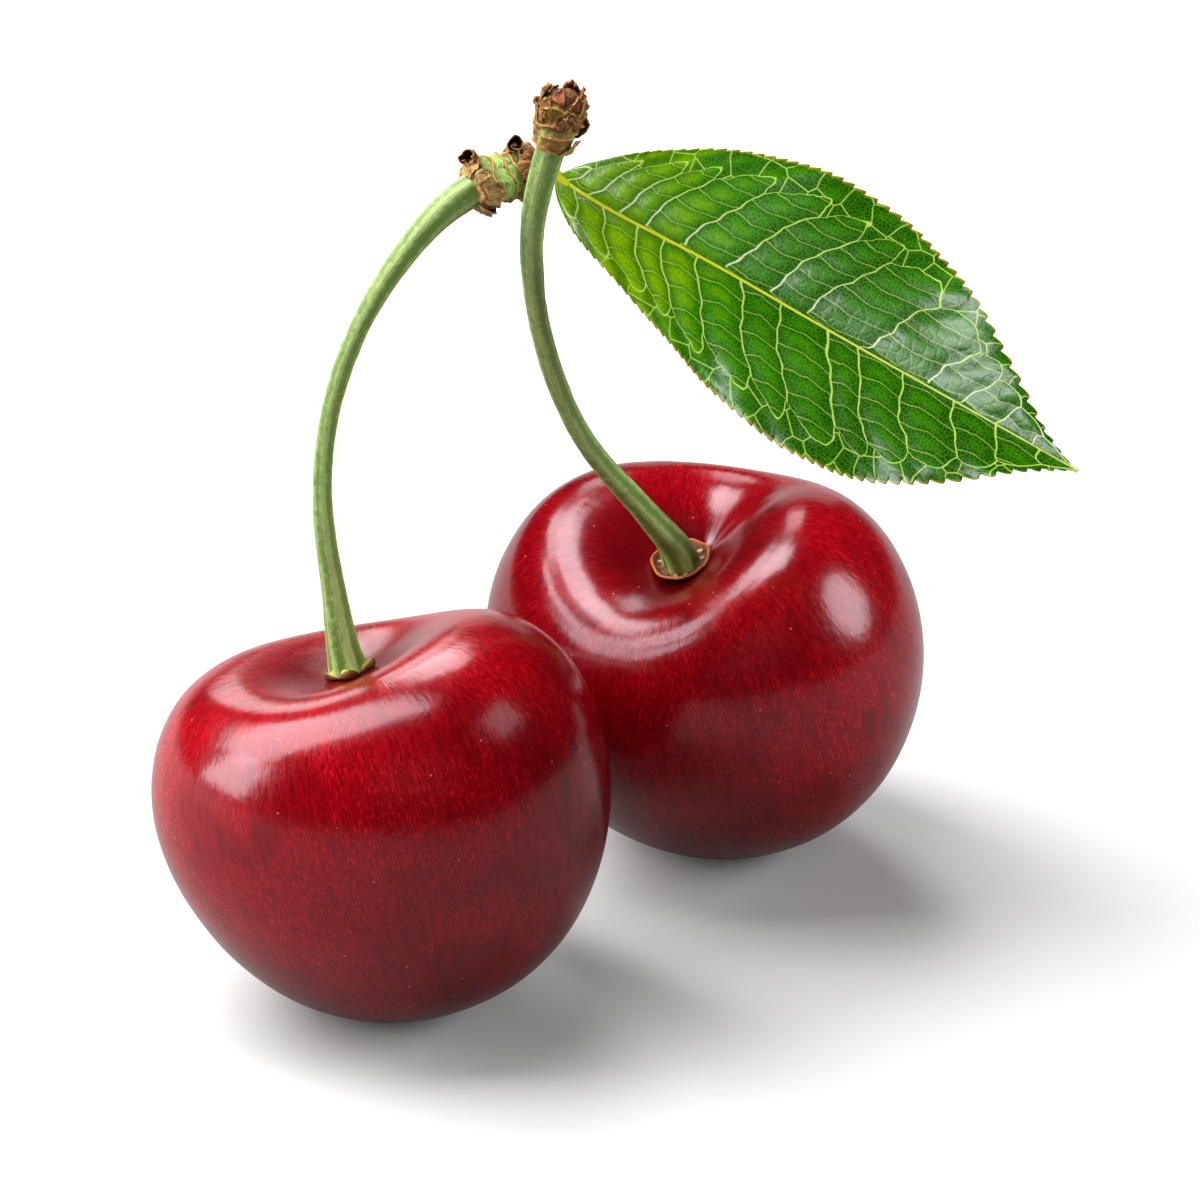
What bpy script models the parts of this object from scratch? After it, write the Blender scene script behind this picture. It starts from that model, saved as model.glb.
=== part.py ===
"""A pair of sweet cherries on their stalks, joined at the top, with one leaf.

Each fruit is one solid that rests on a small flat where its skin gives. Its stalk stands in the
stem cavity, on a dry collar left by the flower. Both stalks end in a woody knob with dry bud
scales. The left knob also carries the leaf, and the right stalk leans on it.

The shapes are laid out in millimetres round the centre of the left fruit, with +X to the right,
+Y away from the viewer and +Z up. The last step puts the origin on the surface they stand on,
under the middle of the whole object.
"""

import math
from dataclasses import dataclass, replace

import bmesh
import bpy
import numpy as np
from mathutils import Quaternion, Vector

MM = 0.001
GAP = 0.12  # clearance between pieces that touch on the real plant

# Grids of the solids: enough facets for the shape, few enough for quick checks.
FRUIT_SIDES = 40
FRUIT_RINGS = 28
COLLAR_SIDES = 20
STALK_SIDES = 12
STALK_RINGS = 28
KNOB_SIDES = 16
SCALE_STEPS = 4
LEAF_STATIONS = 28
LEAF_COLUMNS = 11

# Outline of a cherry in polar form: its radius, as a share of the widest, is a cosine series
# in the angle from the axis of its stalk.
OUTLINE = (0.958, 0.084, -0.032, -0.034, -0.014)
RIM_ANGLE = math.radians(29)
SEAM_SPREAD = math.radians(24)
SEAM_DEPTH = 0.16
TIP_DIMPLE = 0.35
TIP_SPREAD = math.radians(9)
STALK_CLEARANCE = 0.55  # collar to stalk, since the stalk leaves the cavity at a slant
FOOT_SINK = 0.3  # how far the round outline is pressed flat where the fruit stands


@dataclass(frozen=True)
class Fruit:
    """One cherry: sizes in millimetres, directions in the layout frame."""

    name: str
    centre: tuple
    axis: tuple  # the way its stem cavity faces
    seam_turn: float  # degrees about the axis, from +X to the side with the seam
    radius: float
    depth_share: float  # thickness through the seam, as a share of the width
    cavity_depth: float
    cavity_angle: float  # half opening of the cavity in radians, seen from the centre
    cheek_lift: float  # how far the rim stands up on both sides of the seam
    notch_depth: float  # how far the rim dips where the seam crosses it
    notch_spread: float  # degrees


LEFT_FRUIT = Fruit(
    "fruit_left",
    centre=(0.6, 0.0, -0.25),
    axis=(-0.265, 0.182, 1.0),
    seam_turn=72,
    radius=14.25,
    depth_share=0.91,
    cavity_depth=4.0,
    cavity_angle=0.55,
    cheek_lift=0.3,
    notch_depth=0.3,
    notch_spread=44,
)
RIGHT_FRUIT = Fruit(
    "fruit_right",
    centre=(20.5, 20.6, -0.35),
    axis=(-0.235, -0.275, 1.0),
    seam_turn=61,
    radius=14.36,
    depth_share=0.875,
    cavity_depth=4.8,
    cavity_angle=0.44,
    cheek_lift=0.9,
    notch_depth=2.8,
    notch_spread=34,
)


@dataclass(frozen=True)
class Stalk:
    """One stalk: the route of its middle from the fruit to the knob, and its thickness."""

    name: str
    route: tuple
    foot_radius: float
    slim_radius: float
    head_radius: float


LEFT_STALK = Stalk(
    "stalk_left",
    route=(
        (-2.7, 2.4, 13.6),
        (-3.35, 3.2, 19.2),
        (-3.0, 4.0, 24.5),
        (-1.0, 4.7, 30.6),
        (1.45, 5.5, 34.6),
        (5.1, 6.8, 38.1),
    ),
    foot_radius=1.15,
    slim_radius=0.56,
    head_radius=0.96,
)
RIGHT_STALK = Stalk(
    "stalk_right",
    route=(
        (17.0, 16.8, 11.6),
        (15.1, 15.2, 14.7),
        (12.8, 13.1, 18.6),
        (10.6, 11.2, 24.2),
        (9.4, 8.9, 30.5),
        (9.35, 6.3, 36.9),
        (10.25, 5.0, 41.4),
    ),
    foot_radius=1.15,
    slim_radius=0.62,
    head_radius=0.88,
)


@dataclass(frozen=True)
class Knob:
    """A woody end: its middle line and its girth, as (share of length, radius) pairs."""

    name: str
    start: tuple
    end: tuple
    girth: tuple
    lump: float  # unevenness, as a share of the radius


LEFT_KNOB = Knob(
    "knob_left",
    start=(5.42, 6.98, 38.42),
    end=(9.55, 9.2, 38.98),
    girth=(
        (0.0, 1.05),
        (0.06, 1.45),
        (0.25, 1.55),
        (0.33, 1.4),
        (0.5, 1.5),
        (0.6, 1.42),
        (0.7, 1.6),
        (0.9, 1.5),
        (1.0, 1.0),
    ),
    lump=0.05,
)
RIGHT_KNOB = Knob(
    "knob_right",
    start=(10.37, 4.86, 41.75),
    end=(11.4, 4.7, 45.7),
    girth=((0.0, 0.9), (0.07, 1.15), (0.2, 1.25), (0.42, 1.42), (0.62, 1.36), (0.82, 1.15), (1.0, 0.7)),
    lump=0.05,
)


@dataclass(frozen=True)
class Scale:
    """A dry bud scale on a knob: where it is rooted and how far it stands off."""

    name: str
    knob: Knob
    along: float  # share of the knob's length where it is rooted
    turn: float  # degrees round the knob; the left knob counts from its top, the right from its left
    length: float
    width: float
    lift: float  # how far its tip stands off the knob


SCALES = (
    Scale("bud_scale_left_top", LEFT_KNOB, 0.05, -20, 1.1, 1.5, 0.5),
    Scale("bud_scale_left_front", LEFT_KNOB, 0.10, 75, 1.1, 1.4, 0.25),
    Scale("bud_scale_left_under", LEFT_KNOB, 0.12, 165, 1.4, 1.5, 0.15),
    Scale("bud_scale_left_end", LEFT_KNOB, 0.62, 70, 1.4, 1.9, 0.1),
    Scale("bud_scale_left_bud", LEFT_KNOB, 0.62, -5, 1.2, 1.3, 0.6),
    Scale("bud_scale_right_base", RIGHT_KNOB, 0.06, 145, 1.1, 1.5, 0.12),
    Scale("bud_scale_right_outer", RIGHT_KNOB, 0.30, 190, 1.2, 1.3, 0.15),
    Scale("bud_scale_right_inner", RIGHT_KNOB, 0.42, 10, 1.2, 1.3, 0.12),
    Scale("bud_scale_right_front", RIGHT_KNOB, 0.48, 100, 1.3, 1.5, 0.2),
    Scale("bud_scale_right_tip", RIGHT_KNOB, 0.78, 160, 1.3, 1.1, 0.1),
)
SCALE_THICKNESS = 0.2
SCALE_GAP = 1.5 * GAP
KNOB_RADIUS = 1.45  # the girth that a scale's width is wrapped round
TIP_NARROWING = 0.85
TIP_THINNING = 0.4

LEAF_ROUTE = (
    (10.0, 9.4, 38.85),
    (10.8, 9.15, 38.3),
    (18.5, 8.2, 34.0),
    (26.3, 7.2, 29.65),
    (34.1, 5.4, 25.65),
    (41.9, 3.0, 21.9),
)
LEAF_ACROSS = (0.49, 0.58, 0.68)  # from the midrib towards the upper edge
PETIOLE_RADIUS = 0.42
PETIOLE_SHARE = 0.025
BLADE_THICKNESS = 0.42
FOLD_SLOPE = 0.16  # how steeply each half rises from the midrib
EDGE_DROOP = 0.011  # how soon that rise flattens out


@dataclass(frozen=True)
class BladeHalf:
    """The outline of half a blade: its greatest width, where that is, and how blunt the base is."""

    width: float
    widest_at: float
    bluntness: float
    taper: float


UPPER_HALF = BladeHalf(width=8.6, widest_at=0.46, bluntness=0.74, taper=0.65)
LOWER_HALF = BladeHalf(width=7.95, widest_at=0.56, bluntness=0.52, taper=0.75)


# Helpers -------------------------------------------------------------------------------------


def unit(vector):
    vector = np.array(vector, float)
    return vector / np.linalg.norm(vector)


def smooth_path(points, count):
    """Points at even spacing along the natural cubic spline through the given points."""
    points = np.array(points, float)
    gaps = np.linalg.norm(np.diff(points, axis=0), axis=1)
    knots = np.concatenate([[0.0], np.cumsum(gaps)])
    system = np.eye(len(points))
    target = np.zeros_like(points)
    for i in range(1, len(points) - 1):
        before, after = gaps[i - 1], gaps[i]
        system[i, i - 1 : i + 2] = before, 2 * (before + after), after
        target[i] = 6 * ((points[i + 1] - points[i]) / after - (points[i] - points[i - 1]) / before)
    bend = np.linalg.solve(system, target)
    fine = np.linspace(0, knots[-1], 40 * len(points))
    span = np.clip(np.searchsorted(knots, fine) - 1, 0, len(points) - 2)
    width = gaps[span][:, None]
    ahead = (knots[span + 1] - fine)[:, None]
    behind = (fine - knots[span])[:, None]
    line = bend[span] * ahead**3 / (6 * width) + bend[span + 1] * behind**3 / (6 * width)
    line += (points[span] / width - bend[span] * width / 6) * ahead
    line += (points[span + 1] / width - bend[span + 1] * width / 6) * behind
    length = np.concatenate([[0.0], np.cumsum(np.linalg.norm(np.diff(line, axis=0), axis=1))])
    even = np.linspace(0, length[-1], count)
    return np.stack([np.interp(even, length, line[:, k]) for k in range(3)], axis=1)


def round_frames(path):
    """Two vectors square to a path at each of its points, turning no more than they must."""
    ahead = np.gradient(path, axis=0)
    side = np.cross(ahead[0], (0.0, 1.0, 0.3))
    sides = []
    for direction in ahead:
        direction = unit(direction)
        side = unit(side - direction * np.dot(side, direction))
        sides.append((side, np.cross(direction, side)))
    return sides


def circle(middle, side, up, radius, count):
    """Points round a middle; radius is a number or a function of the turn."""
    reach = radius if callable(radius) else lambda turn: radius
    turns = [2 * math.pi * i / count for i in range(count)]
    return [middle + reach(t) * (side * math.cos(t) + up * math.sin(t)) for t in turns]


def new_object(name, points, faces, material):
    """A smooth-shaded mesh object from points in millimetres."""
    mesh = bpy.data.meshes.new(name)
    mesh.from_pydata([Vector(p) * MM for p in points], [], faces)
    mesh.shade_smooth()
    mesh.materials.append(material)
    made = bpy.data.objects.new(name, mesh)
    bpy.context.scene.collection.objects.link(made)
    return made


def loft(name, sections, material):
    """A closed solid skinned over sections of equal point count, capped at both ends."""
    sides = len(sections[0])
    points = [p for section in sections for p in section]
    faces = [tuple(reversed(range(sides))), tuple(range(len(points) - sides, len(points)))]
    for low in range(0, len(points) - sides, sides):
        for i in range(sides):
            j = (i + 1) % sides
            faces.append((low + i, low + j, low + sides + j, low + sides + i))
    made = new_object(name, points, faces, material)
    tidy_normals(made.data)
    return made


def tidy_normals(mesh):
    shape = bmesh.new()
    shape.from_mesh(mesh)
    bmesh.ops.recalc_face_normals(shape, faces=shape.faces[:])
    shape.to_mesh(mesh)
    shape.free()


def principled(name, colour, roughness, coat=0.0):
    """A material with the piece's own colour and gloss."""
    material = bpy.data.materials.new(name)
    material.use_nodes = True
    shader = material.node_tree.nodes["Principled BSDF"]
    shader.inputs["Base Color"].default_value = (*colour, 1.0)
    shader.inputs["Roughness"].default_value = roughness
    shader.inputs["Metallic"].default_value = 0.0
    shader.inputs["Coat Weight"].default_value = coat
    return material


# Fruits --------------------------------------------------------------------------------------


def fruit_radius(fruit, polar, turn):
    """Centre to skin, at an angle from the axis and a turn round it from the seam's side."""
    outline = sum(share * math.cos(k * polar) for k, share in enumerate(OUTLINE))
    flatter = 1 - (1 - fruit.depth_share) * (math.cos(turn) * math.sin(polar)) ** 2
    cavity = fruit.cavity_depth * math.exp(-((polar / fruit.cavity_angle) ** 2.8))
    square = (polar / RIM_ANGLE) ** 2
    rim = (square * math.exp(1 - square)) ** 1.5
    off_seam = math.remainder(turn, 2 * math.pi)
    seam = SEAM_DEPTH * math.sin(polar) ** 2 * math.exp(-((off_seam / SEAM_SPREAD) ** 2))
    notch = fruit.notch_depth * rim * math.exp(-((off_seam / math.radians(fruit.notch_spread)) ** 2))
    cheeks = fruit.cheek_lift * rim * -math.cos(2 * turn)
    tip = TIP_DIMPLE * math.exp(-(((math.pi - polar) / TIP_SPREAD) ** 2))
    return fruit.radius * outline * flatter - cavity + cheeks - seam - notch - tip


def on_fruit(fruit, polar, turn):
    """The layout point on a fruit's skin."""
    radius = fruit_radius(fruit, polar, turn)
    local = Vector((math.sin(polar) * math.cos(turn), math.sin(polar) * math.sin(turn), math.cos(polar)))
    upright = Vector((0, 0, 1)).rotation_difference(Vector(fruit.axis))
    turned = upright @ Quaternion((0, 0, 1), math.radians(fruit.seam_turn))
    return np.array(Vector(fruit.centre) + turned @ (local * radius))


def cavity_floor(fruit):
    """Where the axis meets the bottom of the stem cavity."""
    return on_fruit(fruit, 0.0, 0.0)


def lowest(fruit):
    """Height of the fruit's lowest point, before its foot is pressed flat."""
    steps = 90
    return min(
        on_fruit(fruit, math.pi * ring / steps, 2 * math.pi * side / steps)[2]
        for ring in range(steps // 2, steps)
        for side in range(steps)
    )


def stood_on(fruit, ground):
    """The same fruit, raised or lowered until its foot sinks just below the ground."""
    x, y, z = fruit.centre
    return replace(fruit, centre=(x, y, z + ground - FOOT_SINK - lowest(fruit)))


def build_fruit(fruit, ground, material):
    """One closed solid with a flat foot on the ground."""
    points = [cavity_floor(fruit)]
    for ring in range(1, FRUIT_RINGS):
        polar = math.pi * ring / FRUIT_RINGS
        for side in range(FRUIT_SIDES):
            points.append(on_fruit(fruit, polar, 2 * math.pi * side / FRUIT_SIDES))
    points.append(on_fruit(fruit, math.pi, 0.0))
    last = len(points) - 1
    base = last - FRUIT_SIDES
    faces = []
    for side in range(FRUIT_SIDES):
        turned = (side + 1) % FRUIT_SIDES
        faces.append((0, 1 + side, 1 + turned))
        faces.append((base + side, last, base + turned))
        for high in range(1, base, FRUIT_SIDES):
            low = high + FRUIT_SIDES
            faces.append((high + side, low + side, low + turned, high + turned))
    made = new_object(fruit.name, points, faces, material)
    cut_foot(made.data, ground)
    return made


def cut_foot(mesh, ground):
    """Cuts the solid off at the ground and closes it with one flat face."""
    shape = bmesh.new()
    shape.from_mesh(mesh)
    everything = shape.verts[:] + shape.edges[:] + shape.faces[:]
    cut = bmesh.ops.bisect_plane(
        shape, geom=everything, dist=1e-7, plane_co=(0, 0, ground * MM), plane_no=(0, 0, -1), clear_outer=True
    )
    rim = [item for item in cut["geom_cut"] if isinstance(item, bmesh.types.BMEdge)]
    foot = bmesh.ops.contextual_create(shape, geom=rim)["faces"]
    for face in foot:
        face.smooth = False
    bmesh.ops.recalc_face_normals(shape, faces=shape.faces[:])
    shape.to_mesh(mesh)
    shape.free()


# Collars -------------------------------------------------------------------------------------


@dataclass(frozen=True)
class Collar:
    """The dry ring that the flower left round the stalk's foot."""

    name: str
    radius: float
    thickness: float
    lobes: int
    lobe_share: float


LEFT_COLLAR = Collar("collar_left", radius=1.55, thickness=0.34, lobes=5, lobe_share=0.14)
RIGHT_COLLAR = Collar("collar_right", radius=1.95, thickness=0.28, lobes=7, lobe_share=0.03)


def wall_rise(fruit, reach):
    """How far the cavity's wall has risen above its floor, at a distance from the axis."""
    polar = reach / fruit_radius(fruit, 0.0, 0.0)
    quarters = [math.pi * (k + 0.5) / 4 for k in range(8)]
    radius = max(fruit_radius(fruit, polar, turn) for turn in quarters)
    return radius * math.cos(polar) - fruit_radius(fruit, 0.0, 0.0)


def build_collar(collar, fruit, material):
    """A shallow dish that follows the cavity's floor, a hair above it."""
    along = unit(fruit.axis)
    side = unit(np.cross((0, 1, 0), along))
    front = np.cross(along, side)
    floor = cavity_floor(fruit)

    def ring(share, height):
        reach = collar.radius * share
        middle = floor + along * (GAP + height + max(0.0, wall_rise(fruit, reach)))
        wave = lambda turn: reach * (1 + collar.lobe_share * share**2 * math.cos(collar.lobes * turn))
        return circle(middle, side, front, wave, COLLAR_SIDES)

    under = [ring(0.05, 0.0), ring(0.5, 0.0), ring(0.9, 0.02)]
    over = [ring(1.0, collar.thickness), ring(0.75, collar.thickness), ring(0.05, 0.6 * collar.thickness)]
    return loft(collar.name, under + over, material)


# Stalks --------------------------------------------------------------------------------------


def stalk_radius(stalk, share):
    """Half thickness: swollen at the foot, slim in the middle and thicker again at the head."""
    foot = (stalk.foot_radius - stalk.slim_radius) * math.exp(-share / 0.13)
    head = (stalk.head_radius - stalk.slim_radius) * math.exp(-(((1 - share) / 0.2) ** 1.4))
    return stalk.slim_radius + foot + head


def build_stalk(stalk, collar, fruit, material):
    """A tube from just above the collar to just below the knob."""
    foot = cavity_floor(fruit) + unit(fruit.axis) * (collar.thickness + STALK_CLEARANCE)
    path = smooth_path([foot, *stalk.route], STALK_RINGS)
    sections = []
    for i, (side, up) in enumerate(round_frames(path)):
        radius = stalk_radius(stalk, i / (STALK_RINGS - 1))
        sections.append(circle(path[i], side, up, radius, STALK_SIDES))
    return loft(stalk.name, sections, material)


# Knobs and bud scales ------------------------------------------------------------------------


def knob_frame(knob):
    """The knob's start, its length and its three directions: along, side and up."""
    start = np.array(knob.start)
    span = np.array(knob.end) - start
    along = unit(span)
    side = unit(np.cross(along, (0.0, 1.0, 0.2)))
    return start, np.linalg.norm(span), along, side, np.cross(along, side)


def knob_radius(knob, share, turn):
    """Middle line to surface, at a share of the length and a turn round the knob."""
    shares, radii = zip(*knob.girth)
    uneven = math.sin(3 * turn + 9 * share) + 0.6 * math.sin(5 * turn - 14 * share)
    return float(np.interp(share, shares, radii)) * (1 + knob.lump * uneven)


def build_knob(knob, material):
    """A body with uneven rings and lumps."""
    start, length, along, side, up = knob_frame(knob)
    sections = []
    for share, _ in knob.girth:
        lumpy = lambda turn: knob_radius(knob, share, turn)
        sections.append(circle(start + along * length * share, side, up, lumpy, KNOB_SIDES))
    return loft(knob.name, sections, material)


def build_scale(scale, material):
    """A thin plate that is rooted on the knob, narrows and lifts at its tip."""
    start, length, along, side, up = knob_frame(scale.knob)
    sections = []
    for row in range(SCALE_STEPS + 1):
        out = row / SCALE_STEPS
        share = scale.along + out * scale.length / length
        middle = start + along * length * share
        half_turn = scale.width / (2 * KNOB_RADIUS) * math.sqrt(1 - TIP_NARROWING * out**3)
        inner, outer = [], []
        for column in range(SCALE_STEPS + 1):
            turn = math.radians(scale.turn) + half_turn * (2 * column / SCALE_STEPS - 1)
            outwards = side * math.cos(turn) + up * math.sin(turn)
            reach = knob_radius(scale.knob, share, turn) + SCALE_GAP + scale.lift * out**2
            inner.append(middle + outwards * reach)
            outer.append(middle + outwards * (reach + SCALE_THICKNESS * (1 - TIP_THINNING * out)))
        sections.append(inner + outer[::-1])
    return loft(scale.name, sections, material)


# Leaf ----------------------------------------------------------------------------------------


def blade_reach(half, share):
    """Midrib to edge, at a share of the blade's length."""
    if not 0 < share < 1:
        return 0.0
    power = math.log(0.5) / math.log(half.widest_at)
    return half.width * math.sin(math.pi * share**power) ** (half.bluntness + half.taper * share)


def build_leaf(material):
    """One solid: a short petiole that spreads into a thin blade, folded along its midrib."""
    path = smooth_path(LEAF_ROUTE, LEAF_STATIONS)
    ahead = np.gradient(path, axis=0)
    sections = []
    for i, middle in enumerate(path):
        share = (i / (LEAF_STATIONS - 1) - PETIOLE_SHARE) / (1 - PETIOLE_SHARE)
        direction = unit(ahead[i])
        across = unit(LEAF_ACROSS - direction * np.dot(LEAF_ACROSS, direction))
        normal = np.cross(direction, across)
        rib = PETIOLE_RADIUS * (1 - 0.75 * max(0.0, share))
        front, back = [], []
        for column in range(LEAF_COLUMNS):
            sway = 2 * column / (LEAF_COLUMNS - 1) - 1
            reach = sway * max(rib, blade_reach(UPPER_HALF if sway > 0 else LOWER_HALF, share))
            rise = FOLD_SLOPE * abs(reach) - EDGE_DROOP * reach**2
            taper = math.sqrt(1 - 0.9 * abs(sway) ** 3)
            swell = rib * math.exp(-((reach / rib) ** 2))
            surface = middle + across * reach + normal * rise
            front.append(surface + normal * (BLADE_THICKNESS / 2 + 0.3 * swell) * taper)
            back.append(surface - normal * (BLADE_THICKNESS / 2 + swell) * taper)
        sections.append(front + back[::-1])
    return loft("leaf", sections, material)


# Assembly ------------------------------------------------------------------------------------


def stand_on_origin(objects):
    """Moves the whole object so that it stands on z = 0, with the origin under its middle."""
    corners = np.array([v.co for made in objects for v in made.data.vertices])
    low, high = corners.min(axis=0), corners.max(axis=0)
    shift = Vector((-(low[0] + high[0]) / 2, -(low[1] + high[1]) / 2, -low[2]))
    for made in objects:
        made.location = shift


def main():
    for old in list(bpy.data.objects):
        bpy.data.objects.remove(old)

    skin = principled("cherry_skin", (0.32, 0.004, 0.012), 0.22, coat=0.6)
    stalk_green = principled("stalk_green", (0.22, 0.40, 0.10), 0.45)
    bark = principled("knob_bark", (0.24, 0.17, 0.06), 0.75)
    dry_scale = principled("dry_scale", (0.30, 0.14, 0.05), 0.7)
    blade = principled("leaf_green", (0.06, 0.28, 0.02), 0.35)

    ground = lowest(LEFT_FRUIT) + FOOT_SINK
    right_fruit = stood_on(RIGHT_FRUIT, ground)
    made = [
        build_fruit(LEFT_FRUIT, ground, skin),
        build_fruit(right_fruit, ground, skin),
        build_collar(LEFT_COLLAR, LEFT_FRUIT, dry_scale),
        build_collar(RIGHT_COLLAR, right_fruit, dry_scale),
        build_stalk(LEFT_STALK, LEFT_COLLAR, LEFT_FRUIT, stalk_green),
        build_stalk(RIGHT_STALK, RIGHT_COLLAR, right_fruit, stalk_green),
        build_knob(LEFT_KNOB, bark),
        build_knob(RIGHT_KNOB, bark),
        build_leaf(blade),
    ]
    made += [build_scale(scale, dry_scale) for scale in SCALES]
    stand_on_origin(made)


if __name__ == "__main__":
    main()
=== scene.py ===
"""Looks of a pair of sweet cherries: two fruits on joined stalks, with one leaf.

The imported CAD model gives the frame, the places and the outer sizes. This script rebuilds every
visible piece finely around it and gives each its own finish: skin with fibres and pores, ridged
green stalks, dry collars, woody knobs with bud scales, and a veined leaf with a toothed edge.

Shapes are laid out in millimetres round the centre of the left fruit, with +X to the right, +Y away
from the viewer and +Z up, as the CAD source lays them out. Layout turns them into metres in the
frame.
"""

import functools
import itertools
import logging
import math
from dataclasses import dataclass, field
from enum import Enum
from typing import Sequence

import bpy
import numpy as np
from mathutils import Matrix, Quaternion, Vector


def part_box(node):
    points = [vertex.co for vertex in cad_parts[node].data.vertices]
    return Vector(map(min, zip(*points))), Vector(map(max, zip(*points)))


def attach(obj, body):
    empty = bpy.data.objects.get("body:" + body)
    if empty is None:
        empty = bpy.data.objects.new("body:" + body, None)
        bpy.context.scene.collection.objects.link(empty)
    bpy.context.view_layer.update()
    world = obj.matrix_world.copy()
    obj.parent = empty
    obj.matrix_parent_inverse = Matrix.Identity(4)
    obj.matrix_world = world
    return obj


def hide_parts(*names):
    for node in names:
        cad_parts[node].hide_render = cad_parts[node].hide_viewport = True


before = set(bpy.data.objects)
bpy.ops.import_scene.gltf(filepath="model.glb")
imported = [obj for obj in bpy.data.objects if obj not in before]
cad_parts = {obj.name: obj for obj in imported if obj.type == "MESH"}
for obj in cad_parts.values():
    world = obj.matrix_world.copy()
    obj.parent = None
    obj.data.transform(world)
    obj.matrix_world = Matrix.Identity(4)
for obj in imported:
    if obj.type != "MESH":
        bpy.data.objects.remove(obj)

MM = 0.001
BODY = "root"
Colour = tuple[float, float, float]
Point = tuple[float, float, float]

# Pieces that a light reaches, or is kept off.
FRONT_FRUIT = ("fruit_left_skin",)
BACK_FRUIT = ("fruit_right_skin",)
LEAF = ("leaf_blade",)

log = logging.getLogger("cherries")


# Small geometry ------------------------------------------------------------------------------


def unit(vector: Sequence[float]) -> np.ndarray:
    """The same direction at length one."""
    vector = np.array(vector, float)
    return vector / np.linalg.norm(vector)


def smooth_step(low: float, high: float, value: np.ndarray) -> np.ndarray:
    """Rises smoothly from 0 at low to 1 at high.

    Args:
        low: Value that gives 0.
        high: Value that gives 1.
        value: Numbers to map.

    Returns:
        The mapped numbers, between 0 and 1.
    """
    share = np.clip((np.asarray(value, float) - low) / (high - low), 0.0, 1.0)
    return share * share * (3 - 2 * share)


def hump(value: np.ndarray, centre: float, width: float, power: float = 2) -> np.ndarray:
    """A smooth hump that is 1 at its centre."""
    return np.exp(-(((value - centre) / width) ** power))


def grid_of(*parts: np.ndarray | float) -> np.ndarray:
    """Vectors from their parts, each part stretched to the shape of one grid."""
    return np.stack(np.broadcast_arrays(*parts), axis=-1)


def sheet(front: np.ndarray, back: np.ndarray) -> np.ndarray:
    """A grid that runs across a front face and returns across the back face."""
    return np.concatenate([front, back[:, ::-1]], axis=1)


def once_round(count: int) -> np.ndarray:
    """Evenly spaced angles once round, in one row."""
    return np.linspace(0, 2 * math.pi, count, endpoint=False)[None, :]


def spokes(side: np.ndarray, up: np.ndarray, turn: np.ndarray) -> np.ndarray:
    """The directions at angles round a line, from its side and its up direction."""
    return side * np.cos(turn)[..., None] + up * np.sin(turn)[..., None]


def smooth_path(points: Sequence[Sequence[float]], count: int) -> np.ndarray:
    """Points at even spacing along the natural cubic spline through the given points.

    Args:
        points: Points that the line passes through.
        count: How many points to return.

    Returns:
        An array of count points.
    """
    points = np.array([tuple(p) for p in points], float)
    gaps = np.linalg.norm(np.diff(points, axis=0), axis=1)
    knots = np.concatenate([[0.0], np.cumsum(gaps)])
    system = np.eye(len(points))
    target = np.zeros_like(points)
    for i in range(1, len(points) - 1):
        before, after = gaps[i - 1], gaps[i]
        system[i, i - 1 : i + 2] = before, 2 * (before + after), after
        target[i] = 6 * ((points[i + 1] - points[i]) / after - (points[i] - points[i - 1]) / before)
    bend = np.linalg.solve(system, target)
    fine = np.linspace(0, knots[-1], 40 * len(points))
    span = np.clip(np.searchsorted(knots, fine) - 1, 0, len(points) - 2)
    width = gaps[span][:, None]
    ahead = (knots[span + 1] - fine)[:, None]
    behind = (fine - knots[span])[:, None]
    line = bend[span] * ahead**3 / (6 * width) + bend[span + 1] * behind**3 / (6 * width)
    line += (points[span] / width - bend[span] * width / 6) * ahead
    line += (points[span + 1] / width - bend[span + 1] * width / 6) * behind
    length = np.concatenate([[0.0], np.cumsum(np.linalg.norm(np.diff(line, axis=0), axis=1))])
    even = np.linspace(0, length[-1], count)
    return np.stack([np.interp(even, length, line[:, k]) for k in range(3)], axis=1)


def round_frames(path: np.ndarray) -> tuple[np.ndarray, np.ndarray]:
    """Two directions square to a path at each of its points, turning no more than they must.

    Args:
        path: Points along the line.

    Returns:
        The side and the up direction at each point.
    """
    ahead = np.gradient(path, axis=0)
    side = np.cross(ahead[0], (0.0, 1.0, 0.3))
    sides, ups = [], []
    for step in ahead:
        direction = unit(step)
        side = unit(side - direction * np.dot(side, direction))
        sides.append(side)
        ups.append(np.cross(direction, side))
    return np.array(sides), np.array(ups)


class Grain:
    """Smooth random bumps in space, the same on every run."""

    CELLS = 24

    def __init__(self, seed: int) -> None:
        """Fills a repeating block of space with random heights.

        Args:
            seed: Picks the pattern.
        """
        self.heights = np.random.default_rng(seed).uniform(-1, 1, (self.CELLS,) * 3)

    def at(self, points: np.ndarray, pitch: float) -> np.ndarray:
        """Bump heights at points.

        Args:
            points: Places in millimetres, with three numbers on the last axis.
            pitch: Distance between neighbouring bumps in millimetres.

        Returns:
            One height from -1 to 1 for each point.
        """
        place = np.asarray(points, float) / pitch
        low = np.floor(place).astype(int)
        part = place - low
        part = part * part * (3 - 2 * part)
        total = np.zeros(place.shape[:-1])
        for corner in itertools.product((0, 1), repeat=3):
            index = (low + corner) % self.CELLS
            share = np.prod(np.where(corner, part, 1 - part), axis=-1)
            total += share * self.heights[index[..., 0], index[..., 1], index[..., 2]]
        return total


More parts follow.
